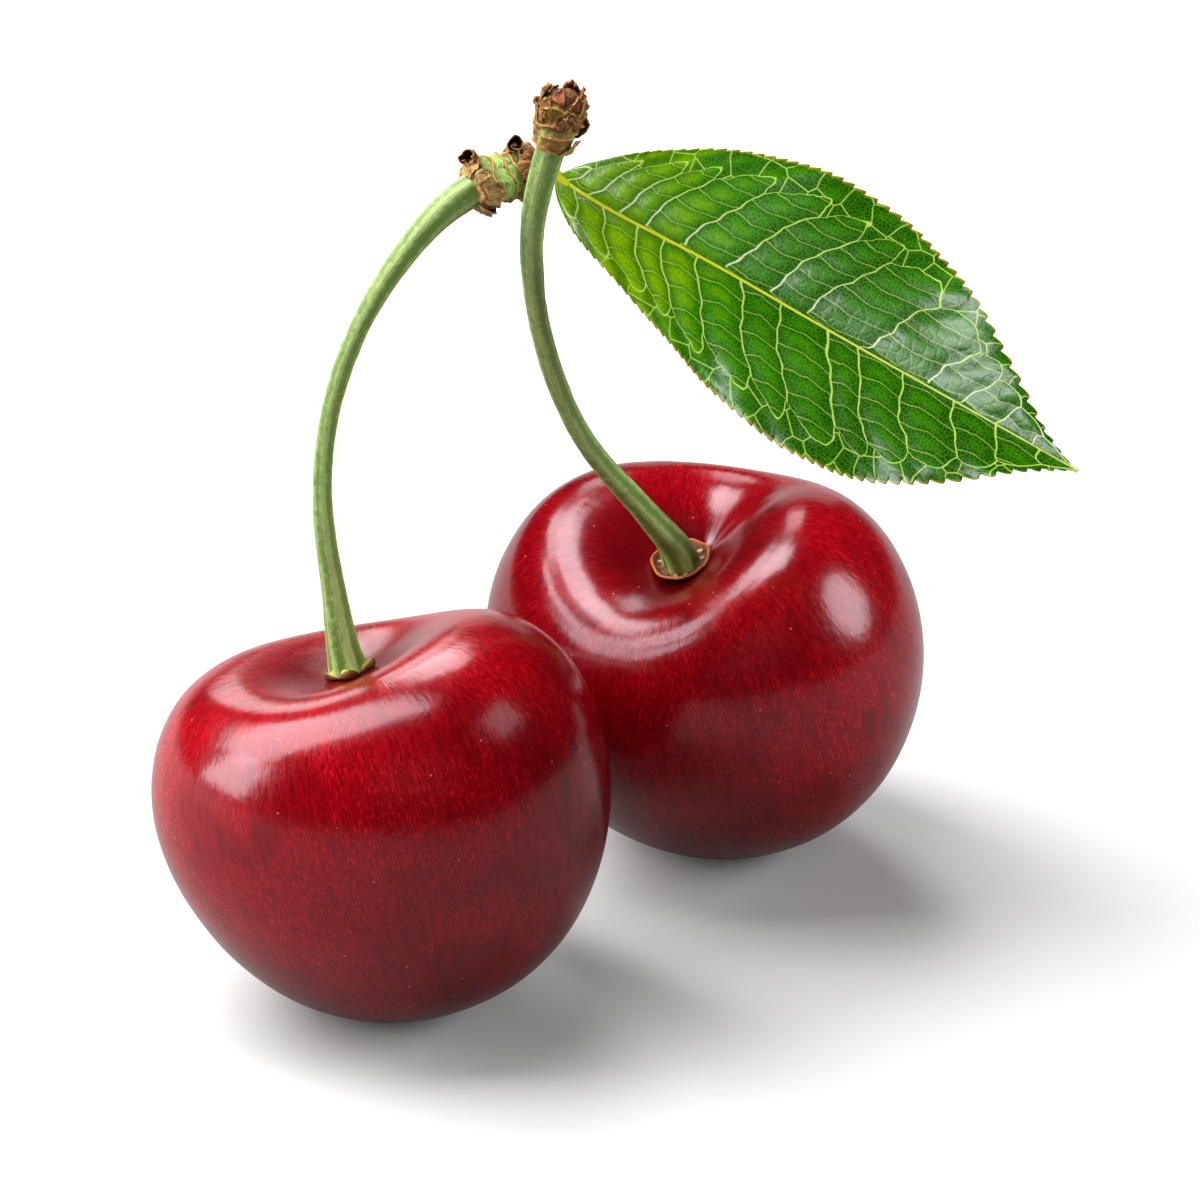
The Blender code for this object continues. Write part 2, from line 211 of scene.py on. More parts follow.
@dataclass
class Patch:
    """A grid of points closed round its columns, with values at each point for the finish."""

    points: np.ndarray  # rows x columns x 3, in layout millimetres
    values: dict[str, np.ndarray] = field(default_factory=dict)  # rows x columns, or with 3 on the last axis

    def flat(self, array: np.ndarray) -> np.ndarray:
        """Lists an array's numbers point by point, with the two end points last."""
        rows = array.reshape(self.points.shape[0], self.points.shape[1], -1)
        return np.concatenate([rows.reshape(-1, rows.shape[2]), rows[:1].mean(1), rows[-1:].mean(1)])

    def faces(self) -> list[tuple[int, ...]]:
        """Quads between the rows, and a fan of triangles at both ends.

        Returns:
            The corners of each face, as places in the list of points.
        """
        rows, columns = self.points.shape[:2]
        first, last = rows * columns, rows * columns + 1
        found: list[tuple[int, ...]] = []
        for low in range(0, (rows - 1) * columns, columns):
            for i in range(columns):
                j = (i + 1) % columns
                found.append((low + i, low + j, low + columns + j, low + columns + i))
        top = (rows - 1) * columns
        for i in range(columns):
            j = (i + 1) % columns
            found.append((first, j, i))
            found.append((last, top + i, top + j))
        return found


class Layout:
    """Turns layout millimetres into metres in the frame."""

    def __init__(self, ground: float, left_fruit: np.ndarray) -> None:
        """Finds the shift between the layout and the frame.

        Args:
            ground: Height of the surface in the layout.
            left_fruit: Points on the left fruit's skin, in the layout.
        """
        low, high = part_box("fruit_left")
        middle = (left_fruit.min(axis=0) + left_fruit.max(axis=0)) / 2
        across, deep = (low.x + high.x) / 2 / MM, (low.y + high.y) / 2 / MM
        self.shift = np.array([across - middle[0], deep - middle[1], -ground])

    def metres(self, points: np.ndarray) -> np.ndarray:
        """Points of the layout as metres in the frame."""
        return (np.asarray(points, float) + self.shift) * MM

    def millimetres(self, point: np.ndarray) -> np.ndarray:
        """A point of the frame as layout millimetres."""
        return np.asarray(point, float) / MM - self.shift

    def build(
        self,
        name: str,
        patches: Sequence[Patch],
        material: bpy.types.Material,
        stands_for: Sequence[str],
        slot: str,
    ) -> None:
        """Makes one smooth-shaded piece from patches and hangs it on the frame.

        Args:
            name: The piece's name.
            patches: Closed surfaces that make up the piece, all with the same values.
            material: Its finish.
            stands_for: CAD nodes that it replaces.
            slot: A material slot's name; not used.
        """
        points: list[np.ndarray] = []
        faces: list[tuple[int, ...]] = []
        values: dict[str, list[np.ndarray]] = {key: [] for key in patches[0].values}
        count = 0
        for patch in patches:
            own = patch.flat(patch.points)
            own_faces = patch.faces()
            if self.inside_out(own, own_faces):
                own_faces = [tuple(reversed(face)) for face in own_faces]
            faces += [tuple(count + i for i in face) for face in own_faces]
            points.append(own)
            count += len(own)
            for key, array in patch.values.items():
                values[key].append(patch.flat(array))
        mesh = bpy.data.meshes.new(name)
        mesh.from_pydata(self.metres(np.concatenate(points)).tolist(), [], faces)
        for key, parts in values.items():
            numbers = np.concatenate(parts)
            is_vector = numbers.shape[1] == 3
            made = mesh.attributes.new(key, "FLOAT_VECTOR" if is_vector else "FLOAT", "POINT")
            made.data.foreach_set("vector" if is_vector else "value", numbers.astype(np.float32).ravel())
        mesh.shade_smooth()
        mesh.materials.append(material)
        piece = bpy.data.objects.new(name, mesh)
        bpy.context.scene.collection.objects.link(piece)
        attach(piece, BODY)
        if stands_for:
            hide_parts(*stands_for)
        log.info("%s: %d faces", name, len(faces))

    @staticmethod
    def inside_out(points: np.ndarray, faces: Sequence[tuple[int, ...]]) -> bool:
        """Whether the faces look inwards, from the sign of the enclosed volume.

        Args:
            points: The corners' places.
            faces: The faces' corners.

        Returns:
            True if the faces have to be turned over.
        """
        corners = np.array([face[:3] for face in faces])
        rest = np.array([(face[0], face[2], face[-1]) for face in faces])
        middle = points.mean(axis=0)
        total = 0.0
        for triple in (corners, rest):
            a, b, c = (points[triple[:, k]] - middle for k in range(3))
            total += float(np.einsum("ij,ij->i", a, np.cross(b, c)).sum())
        return total < 0


# Node trees ----------------------------------------------------------------------------------


class Value:
    """A number, colour or vector that a node gives, with the usual arithmetic."""

    def __init__(self, graph: "Graph", socket: bpy.types.NodeSocket) -> None:
        """Keeps the output socket and the tree that it is in."""
        self.graph = graph
        self.socket = socket

    def __add__(self, other: object) -> "Value":
        """The sum."""
        return self.graph.math("ADD", self, other)

    def __sub__(self, other: object) -> "Value":
        """The difference."""
        return self.graph.math("SUBTRACT", self, other)

    def __rsub__(self, other: object) -> "Value":
        """The difference from a plain number."""
        return self.graph.math("SUBTRACT", other, self)

    def __mul__(self, other: object) -> "Value":
        """The product."""
        return self.graph.math("MULTIPLY", self, other)

    def __truediv__(self, other: object) -> "Value":
        """The quotient."""
        return self.graph.math("DIVIDE", self, other)

    def __abs__(self) -> "Value":
        """The number without its sign."""
        return self.graph.math("ABSOLUTE", self)

    def highest(self, other: object) -> "Value":
        """The larger of two numbers."""
        return self.graph.math("MAXIMUM", self, other)


class Graph:
    """One node tree, built with short calls that return values."""

    def __init__(self, owner: bpy.types.ID) -> None:
        """Starts on a node tree.

        Args:
            owner: The material, light or world that the tree belongs to.
        """
        owner.use_nodes = True
        self.owner = owner
        self.tree = owner.node_tree

    @classmethod
    def material(cls, name: str) -> "Graph":
        """The tree of a new material."""
        return cls(bpy.data.materials.new(name))

    def feed(self, socket: bpy.types.NodeSocket, value: object) -> None:
        """Links a value to a socket, or sets the socket's own number or colour.

        Args:
            socket: The input.
            value: A Value, a number, a vector or a colour.
        """
        if isinstance(value, Value):
            self.tree.links.new(value.socket, socket)
        elif socket.type == "RGBA":
            socket.default_value = (*value, 1.0)
        else:
            socket.default_value = value

    def made(self, kind: str, output: str | int, inputs: dict, **settings: object) -> Value:
        """Adds a node, sets it up and gives one of its outputs.

        Args:
            kind: The node's type, without the part that all shader nodes share.
            output: Which output to give.
            inputs: What each input gets, by its name or its place.
            **settings: The node's plain properties.

        Returns:
            The output.
        """
        node = self.tree.nodes.new("ShaderNode" + kind)
        for key, value in settings.items():
            setattr(node, key, value)
        for key, value in inputs.items():
            self.feed(node.inputs[key], value)
        return Value(self, node.outputs[output])

    def math(self, operation: str, *numbers: object) -> Value:
        """What a Math node makes of its numbers."""
        return self.made("Math", 0, dict(enumerate(numbers)), operation=operation)

    def span(
        self, value: Value, low: object, high: object, to_low: float = 0.0, to_high: float = 1.0
    ) -> Value:
        """A value mapped smoothly from one range to another, and held at its ends."""
        inputs = {"Value": value, "From Min": low, "From Max": high, "To Min": to_low, "To Max": to_high}
        return self.made("MapRange", "Result", inputs, interpolation_type="SMOOTHSTEP")

    def mix(self, share: object, low: object, high: object, blend: str = "MIX") -> Value:
        """Two colours mixed: how much of the second, the first, and the second."""
        inputs = {"Factor": share, "A": low, "B": high}
        return self.made("Mix", "Result", inputs, data_type="RGBA", blend_type=blend)

    def brightened(self, share: Value, colour: Value, factor: Colour) -> Value:
        """A colour multiplied by a factor, as far as the share says."""
        return self.mix(share, colour, self.mix(1.0, colour, factor, "MULTIPLY"))

    def attribute(self, name: str) -> Value:
        """A number that the mesh carries at its points."""
        return self.made("Attribute", "Fac", {}, attribute_name=name, attribute_type="GEOMETRY")

    def vector(self, name: str) -> Value:
        """A vector that the mesh carries at its points."""
        return self.made("Attribute", "Vector", {}, attribute_name=name, attribute_type="GEOMETRY")

    def place(self) -> Value:
        """The point's place in millimetres."""
        return self.stretched(self.made("TexCoord", "Object", {}), (1 / MM,) * 3)

    def stretched(self, vector: Value, scale: Point) -> Value:
        """A vector multiplied along each axis."""
        return self.made("VectorMath", 0, {0: vector, 1: scale}, operation="MULTIPLY")

    def noise(
        self, vector: Value, scale: float, detail: float = 2.0, rough: float = 0.5, bend: float = 0.0
    ) -> Value:
        """Noise from 0 to 1: bumps for each unit of length, finer layers, their strength and their bend."""
        inputs = {"Vector": vector, "Scale": scale, "Detail": detail, "Roughness": rough, "Distortion": bend}
        return self.made("TexNoise", "Fac", inputs)

    def dots(self, vector: Value, scale: float) -> Value:
        """Distance to the nearest of many scattered dots, so many for each unit of length."""
        return self.made("TexVoronoi", "Distance", {"Vector": vector, "Scale": scale})

    def walls(self, vector: Value, scale: float, uneven: float = 1.0, form: str = "2D") -> Value:
        """Distance to the nearest wall between cells, flat ones or solid ones."""
        inputs = {"Vector": vector, "Scale": scale, "Randomness": uneven}
        return self.made(
            "TexVoronoi", "Distance", inputs, feature="DISTANCE_TO_EDGE", voronoi_dimensions=form
        )

    def ramp(self, value: Value, stops: Sequence[tuple[float, Colour]]) -> Value:
        """A colour that changes with a value.

        Args:
            value: Number from 0 to 1.
            stops: Places and their colours.

        Returns:
            The colour.
        """
        colour = self.made("ValToRGB", "Color", {"Fac": value})
        band = colour.socket.node.color_ramp
        while len(band.elements) < len(stops):
            band.elements.new(0.5)
        for element, (place, tint) in zip(band.elements, stops):
            element.position = place
            element.color = (*tint, 1.0)
        return colour

    def relief(self, *layers: tuple[Value, float]) -> Value:
        """Bumps on a surface, one layer over another.

        Args:
            *layers: Heights, and how many millimetres deep each is.

        Returns:
            The surface's direction.
        """
        under: dict[str, Value] = {}
        for height, depth in layers:
            inputs = {"Distance": depth * MM, "Height": height}
            under = {"Normal": self.made("Bump", "Normal", inputs | under)}
        return under["Normal"]

    def set(self, **inputs: object) -> bpy.types.Material:
        """Feeds the shader's inputs.

        Args:
            **inputs: What each input gets, by its name with underscores.

        Returns:
            The material.
        """
        for key, value in inputs.items():
            name = key.replace("_", " ").title().replace("Ior", "IOR")
            self.feed(self.tree.nodes["Principled BSDF"].inputs[name], value)
        return self.owner


# Finishes ------------------------------------------------------------------------------------


@dataclass(frozen=True)
class SkinFinish:
    """Ripe cherry skin: deep red flesh tones under a thin wax, with fibres and pores."""

    deep: Colour = (0.120, 0.0001, 0.0022)
    ripe: Colour = (0.250, 0.0002, 0.0036)
    fleck: Colour = (0.560, 0.0030, 0.0100)
    # painted shade: the colour that darkens the skin inside the stem cavity
    painted_cavity_shade: Colour = (0.070, 0.0001, 0.0014)  # inside the stem cavity
    shine: float = 0.36
    pore: Colour = (0.60, 0.16, 0.15)
    gloss: float = 0.19
    wax: float = 0.10
    wax_gloss: float = 0.08
    shine_tint: Colour = (1.0, 0.88, 0.98)

    def material(self) -> bpy.types.Material:
        """The skin's node tree.

        Returns:
            The material.
        """
        g = Graph.material("cherry_skin")
        meridian = g.vector("meridian")
        low_down = g.attribute("low_down")
        place = g.place()
        fibres = g.noise(g.stretched(meridian, (85, 85, 20)), 1.0, 2.0, 0.6)
        flecks = g.noise(g.stretched(meridian, (125, 125, 34)), 1.0, 1.0, 0.5)
        strands = g.noise(g.stretched(meridian, (30, 30, 4.5)), 1.0, 3.0, 0.6)
        blotch = g.noise(place, 0.16, 3.0, 0.55)
        speckle = g.dots(place, 1.7)
        pores = g.dots(place, 0.62)

        tone = fibres * 0.4 + strands * 0.6
        tone = tone + (blotch - 0.5) * 0.5
        tone = tone - low_down * 0.1
        colour = g.mix(g.span(tone, 0.25, 0.68), self.deep, self.ripe)
        upright = 1.0 - low_down
        streaks = g.span(flecks, 0.54, 0.68) * g.span(blotch, 0.34, 0.58)
        colour = g.mix(streaks * (upright * 0.55 + 0.15), colour, self.fleck)
        dots = g.span(speckle, 0.24, 0.08) * g.span(flecks, 0.36, 0.58)
        colour = g.mix(dots * (low_down * 0.4 + 0.06), colour, self.fleck)
        # painted shade inside the stem cavity
        colour = g.mix(g.attribute("cavity") * 0.75, colour, self.painted_cavity_shade)
        pits = g.span(pores, 0.065, 0.03)
        colour = g.mix(pits * 0.5, colour, self.pore)

        uneven = g.noise(place, 1.1, 3.0, 0.5)
        normal = g.relief((fibres * 0.5 + strands * 0.5, 0.014), (uneven, 0.016))
        rough = g.span(fibres, 0.3, 0.7, self.gloss - 0.03, self.gloss + 0.05)
        return g.set(
            base_color=colour,
            roughness=rough,
            normal=normal,
            specular_ior_level=self.shine,
            specular_tint=self.shine_tint,
            coat_weight=self.wax,
            coat_roughness=self.wax_gloss,
            coat_normal=normal,
        )


@dataclass(frozen=True)
class StalkFinish:
    """Green stalk: pale ridges, darker grooves, and brown or olive patches, with painted shade that makes the
    patches darker on one side.
    """

    pale: Colour = (0.330, 0.440, 0.135)
    green: Colour = (0.120, 0.225, 0.036)
    olive: Colour = (0.060, 0.068, 0.012)
    brown: Colour = (0.110, 0.045, 0.014)
    gloss: float = 0.42

    def material(self, name: str) -> bpy.types.Material:
        """The stalk's node tree.

        Args:
            name: The material's name.

        Returns:
            The material.
        """
        g = Graph.material(name)
        strand = g.vector("strand")
        ridge = g.attribute("ridge")
        stain_with_side_shade = g.attribute("stain_with_side_shade")
        place = g.place()
        lines = g.noise(g.stretched(strand, (8.0, 8.0, 0.55)), 1.0, 3.0, 0.6)
        hairs = g.noise(g.stretched(strand, (15, 15, 2.6)), 1.0, 2.0, 0.6)
        mottle = g.noise(place, 2.6, 4.0, 0.70)
        patch = g.noise(place, 0.42, 3.0, 0.55)
        tone = lines * 0.6 + ridge * 0.26
        tone = (mottle - 0.5) * 1.1 + tone
        colour = g.mix(g.span(tone, 0.10, 0.55), self.green, self.pale)
        colour = g.mix(g.span(hairs, 0.56, 0.72) * 0.35, colour, self.olive)
        # the stain mask carries real stains and painted shade on one side of the stalk
        stain = patch * 0.75 + stain_with_side_shade
        colour = g.mix(g.span(stain, 0.54, 1.0, 0.0, 0.85), colour, self.olive)
        colour = g.mix(g.span(mottle, 0.58, 0.72) * g.span(stain, 0.45, 0.95), colour, self.brown)
        relief = lines * 0.7 + mottle * 0.3
        normal = g.relief((relief, 0.07), (hairs, 0.03))
        rough = g.span(mottle, 0.3, 0.7, self.gloss - 0.06, self.gloss + 0.14)
        return g.set(base_color=colour, roughness=rough, normal=normal)


@dataclass(frozen=True)
class BarkFinish:
    """Woody knob: brown and tan bark in bands, with green showing between, dark cracks and painted shade in
    its hollows.
    """

    bands: tuple[tuple[float, Colour], ...]
    crack_and_hollow_shade: Colour = (0.030, 0.010, 0.003)
    ridge: Colour = (0.210, 0.085, 0.020)
    ridge_edge: Colour = (0.420, 0.260, 0.080)
    stain: float = 0.60  # how much of the green has turned brown
    rough: float = 0.62

    def material(self, name: str) -> bpy.types.Material:
        """The bark's node tree.

        Args:
            name: The material's name.

        Returns:
            The material.
        """
        g = Graph.material(name)
        band = g.attribute("band")
        hollow_shade = g.attribute("hollow_shade")
        place = g.place()
        flakes = g.noise(place, 1.5, 5.0, 0.65, 0.4)
        fine = g.noise(place, 6.0, 4.0, 0.65)
        cracks = g.walls(place, 2.4, form="3D")
        along = band + (flakes - 0.5) * 0.3
        colour = g.ramp(along, self.bands)
        stain = (fine - 0.5) * 0.25 + g.noise(place, 1.1, 4.0, 0.6, 0.6)
        level = 0.70 - 0.30 * self.stain
        colour = g.mix(g.span(stain, level, level + 0.07, 0.0, 0.85), colour, self.ridge)
        ring = (flakes - 0.5) * 0.9 + g.attribute("ring")
        crest = g.mix(g.span(ring, 0.5, 0.95), self.ridge, self.ridge_edge)
        colour = g.mix(g.span(ring, 0.28, 0.50), colour, crest)
        colour = g.brightened(g.span(fine, 0.35, 0.75, 0.0, 0.55), colour, (1.9, 1.7, 1.4))
        # real dark cracks, and painted shade in the knob's hollows
        dark = g.span(cracks, 0.05, 0.0, 0.0, 0.45).highest(g.span(hollow_shade, 0.45, 0.95, 0.0, 0.85))
        colour = g.mix(dark, colour, self.crack_and_hollow_shade)
        normal = g.relief((flakes, 0.16), (fine, 0.06))
        return g.set(base_color=colour, roughness=self.rough, normal=normal, specular_ior_level=0.25)


@dataclass(frozen=True)
class ScaleFinish:
    """Dry bud scale: papery brown, with painted shade on its inner face, and pale at its frayed edge."""

    dark: Colour = (0.020, 0.006, 0.002)
    brown: Colour = (0.150, 0.038, 0.007)
    tan: Colour = (0.500, 0.270, 0.080)
    rough: float = 0.52

    def material(self, name: str) -> bpy.types.Material:
        """The scale's node tree.

        Args:
            name: The material's name.

        Returns:
            The material.
        """
        g = Graph.material(name)
        edge = g.attribute("edge")
        inner = g.attribute("inner")
        strand = g.vector("strand")
        place = g.place()
        veins = g.noise(g.stretched(strand, (7.0, 7.0, 1.3)), 1.0, 3.0, 0.6)
        patch = g.noise(place, 2.2, 4.0, 0.65)
        tone = veins * 0.5 + patch * 0.5
        colour = g.ramp(tone, ((0.36, self.dark), (0.48, self.brown), (0.62, self.tan)))
        colour = g.mix(g.span(edge, 0.72, 1.0, 0.0, 0.75), colour, self.tan)
        # painted shade on the scale's inner face, away from its edge
        colour = g.mix(inner * g.span(edge, 1.0, 0.6), colour, self.dark)
        normal = g.relief((veins, 0.10), (patch, 0.08))
        return g.set(base_color=colour, roughness=self.rough, normal=normal, specular_ior_level=0.25)


@dataclass(frozen=True)
class CollarFinish:
    """Dry ring at the stalk's foot: its colours from the middle to the edge."""

    middle_out: tuple[tuple[float, Colour], ...]
    bump_colour: Colour
    dark: Colour = (0.030, 0.010, 0.006)
    rough: float = 0.6

    def material(self, name: str) -> bpy.types.Material:
        """The collar's node tree.

        Args:
            name: The material's name.

        Returns:
            The material.
        """
        g = Graph.material(name)
        out = g.attribute("out")
        knots = g.attribute("knots")
        place = g.place()
        rough = g.noise(place, 2.6, 4.0, 0.65)
        fine = g.noise(place, 9.0, 3.0, 0.6)
        reach = out + (rough - 0.5) * 0.16
        colour = g.ramp(reach, self.middle_out)
        colour = g.mix(g.span(knots, 0.35, 0.85, 0.0, 0.9), colour, self.bump_colour)
        colour = g.mix(g.span(rough, 0.52, 0.72, 0.0, 0.55), colour, self.dark)
        colour = g.brightened(g.span(fine, 0.5, 0.75, 0.0, 0.35), colour, (1.8, 1.7, 1.5))
        normal = g.relief((rough, 0.12), (fine, 0.04))
        return g.set(base_color=colour, roughness=self.rough, normal=normal, specular_ior_level=0.25)


@dataclass(frozen=True)
class VeinNet:
    """The shader values that say how far a place on the blade is from each kind of vein."""

    graph: Graph
    row: Value  # a whole number on each side vein
    gap: Value  # millimetres from one side vein to the next
    off_rib: Value
    share: Value  # share of the way from the midrib to the edge
    place: Value

    RUNG_PITCH = 1.15
    KINK = 0.62
    LOOP_LEVEL = 0.66

    def own_number(self, number: Value) -> Value:
        """A number from 0 to 1 that belongs to a whole number."""
        return self.graph.made("TexWhiteNoise", "Value", {"W": number}, noise_dimensions="1D")

    def wander(self) -> Value:
        """Slow unevenness around 0."""
        return self.graph.noise(self.place, 0.7, 2.0, 0.5) - 0.5

    def bent_row(self) -> Value:
        """The side veins' running number, with a kink wherever a small vein joins.

        Returns:
            The number.
        """
        own = self.own_number(self.graph.math("ROUND", self.row))
        kink = self.graph.math("PINGPONG", own * 3.0 + self.off_rib, self.KINK)
        return self.wander() * 0.10 + (kink * 0.07 + self.row)

    def near_whole(self, value: Value, step: object) -> Value:
        """Distance to the nearest whole number, times the length of one step."""
        return abs(value - self.graph.math("ROUND", value)) * step

    def to_loop(self, level: Value) -> Value:
        """Distance to the line of loops that runs along the edge."""
        half_width = self.off_rib / self.share.highest(0.02)
        return abs(self.share - level) * half_width

    def loop_level(self, bent: Value) -> Value:
        """Where the loops that join the side veins lie, as a share of the way to the edge."""
        bulge = self.graph.math("SINE", self.graph.math("FRACT", bent) * math.pi)
        return self.wander() * 0.12 + (bulge * 0.15 + self.LOOP_LEVEL)

    def to_rung(self, bent: Value) -> Value:
        """Distance to the thin veins that cross from one side vein to the next.

        Args:
            bent: The side veins' running number.

        Returns:
            The distance in millimetres.
        """
        own = self.own_number(self.graph.math("FLOOR", bent))
        between = self.graph.math("FRACT", bent)
        level = self.off_rib * (1 / self.RUNG_PITCH) + own
        level = self.graph.math("PINGPONG", between, 0.5) * 0.42 + level
        return self.near_whole(self.wander() * 0.3 + level, self.RUNG_PITCH)


@dataclass(frozen=True)
class LeafFinish:
    """Leaf blade: yellow-green near its base with painted glow of light through the blade, deep green beyond,
    painted shade by the veins, under pale veins.
    """

    # the pale tone, also used for the painted glow of light through the blade
    pale_green_and_glow: Colour = (0.310, 0.600, 0.0010)
    green: Colour = (0.042, 0.290, 0.0008)
    # deep green, also used for the painted shade by the veins
    deep: Colour = (0.0030, 0.100, 0.0006)
    thread: Colour = (0.210, 0.460, 0.0040)  # the finest veins
    vein: Colour = (0.620, 0.900, 0.150)
    pale_vein: Colour = (0.860, 0.980, 0.620)
    midrib: Colour = (0.800, 0.820, 0.020)
    margin: Colour = (0.520, 0.560, 0.020)
    gland: Colour = (0.420, 0.130, 0.015)
    under: Colour = (0.180, 0.380, 0.120)
    gloss: float = 0.24
    shine: float = 0.08

    def material(self) -> bpy.types.Material:
        """The leaf's node tree.

        Returns:
            The material.
        """
        g = Graph.material("leaf_blade")
        blade = g.vector("blade")  # along in mm, across in mm, share of the half width
        along, across, share = (g.made("SeparateXYZ", axis, {0: blade}) for axis in "XYZ")
        off_rib = abs(across)
        place = g.stretched(blade, (1, 1, 0))
        net = VeinNet(g, g.attribute("vein_row"), g.attribute("vein_gap"), off_rib, share, place)

        bent = net.bent_row()
        level = net.loop_level(bent)
        inside = g.span(share - level, 0.012, -0.012)
        to_vein = net.near_whole(bent, net.gap)
        width = share * -0.05 + 0.09
        side_veins = g.span(to_vein, width, width * 0.4) * inside
        side_veins = side_veins.highest(g.span(net.to_loop(level), 0.060, 0.024))
        outside = 1.0 - inside
        to_outer = g.walls(place, 0.56, 0.8)
        outer = g.span(to_outer, 0.034, 0.012) * outside
        to_rung = net.to_rung(bent)
        rungs = g.span(to_rung, 0.042, 0.014) * inside
        rib_width = along * -0.0022 + 0.135
        midrib = g.span(off_rib, rib_width, rib_width * 0.5)

        mesh_edge = g.walls(place, 1.35, 0.9)
        mesh = g.span(mesh_edge, 0.030, 0.008)
        fine_edge = g.walls(place, 4.0)
        fine = g.span(fine_edge, 0.13, 0.03)
        grit = g.noise(place, 6.0, 2.0, 0.6)

        patch = g.noise(place, 0.16, 3.0, 0.6)
        # painted glow: yellow-green near the base and in the lower half near the base, as light shining
        # through the blade, mixed with real patchy tone
        paleness_and_glow = 1.0 - g.span(along, -3.0, 19.0, 0.0, 0.95)
        paleness_and_glow = (patch - 0.5) * 0.6 + paleness_and_glow
        lower_half = g.span(across, 1.0, -4.0)
        paleness_and_glow = lower_half * g.span(along, 24.0, 2.0) * 0.25 + paleness_and_glow
        # painted highlight: the raised middles between the veins are made paler
        middle = g.span(to_vein, 0.25, 1.1) * g.span(to_rung, 0.05, 0.45)
        paleness_and_glow = middle * 0.24 + paleness_and_glow
        colour = g.ramp(1.0 - paleness_and_glow, ((0.05, self.pale_green_and_glow), (0.55, self.green), (1.0, self.deep)))
        tint = grit * 1.5 + 0.22
        colour = g.mix(1.0, colour, g.made("CombineXYZ", 0, {0: tint, 1: tint, 2: tint}), "MULTIPLY")
        # painted shade in the valleys beside the side veins, the midrib and the thin cross veins
        vein_valley_shade = g.span(to_vein, 0.55, 0.08, 0.0, 0.62).highest(g.span(off_rib, 0.9, 0.1, 0.0, 0.6))
        colour = g.mix(vein_valley_shade, colour, self.deep)
        colour = g.mix(g.span(to_rung, 0.28, 0.03) * 0.34, colour, self.deep)
        for lines, strength in ((fine, 0.30), (mesh, 0.35)):
            colour = g.mix(lines * strength, colour, self.thread)
        for lines, strength in ((rungs, 0.50), (outer, 0.72)):
            colour = g.mix(lines * strength, colour, self.vein)
        upper_root = g.span(across, 0.0, 0.5) * g.span(off_rib, 3.6, 0.4)
        colour = g.mix(side_veins * 0.94, colour, g.mix(upper_root, self.vein, self.pale_vein))
        colour = g.mix(midrib, colour, g.mix(g.span(along, 10.0, 34.0, 0.0, 0.8), self.midrib, self.vein))
        colour = g.mix(g.span(share, 0.968, 1.0, 0.0, 0.8), colour, self.margin)
        colour = g.mix(g.attribute("tooth") * 0.85, colour, self.gland)
        colour = g.mix(g.attribute("back") * 0.75, colour, self.under)

        quilt = g.span(to_vein, 0.0, 0.9, 0.0, 0.6) + g.span(to_rung, 0.0, 0.5, 0.0, 0.4)
        normal = g.relief(
            (quilt, 0.03),
            (g.span(mesh_edge, 0.0, 0.25), 0.004),
            (g.span(fine_edge, 0.0, 0.3), 0.0012),
            (1.0 - midrib.highest(side_veins), 0.01),
        )
        rough = fine * 0.08 + self.gloss
        return g.set(base_color=colour, roughness=rough, normal=normal, specular_ior_level=self.shine)


@dataclass(frozen=True)
class FloorFinish:
    """Plain pale studio floor."""

    pale: Colour = (0.55, 0.55, 0.552)
    reflected: Colour = (0.23, 0.23, 0.23)  # kept darker in what the fruits mirror
    rough: float = 0.85

    def material(self) -> bpy.types.Material:
        """The floor's node tree.

        Returns:
            The material.
        """
        g = Graph.material("studio_floor")
        cloud = g.noise(g.made("TexCoord", "Object", {}), 3.0, 3.0)
        direct = g.made("LightPath", "Is Camera Ray", {})
        colour = g.mix(direct, self.reflected, self.pale)
        colour = g.mix(cloud * 0.04, colour, (0.27, 0.27, 0.27))
        return g.set(base_color=colour, roughness=self.rough)


# Fruits --------------------------------------------------------------------------------------


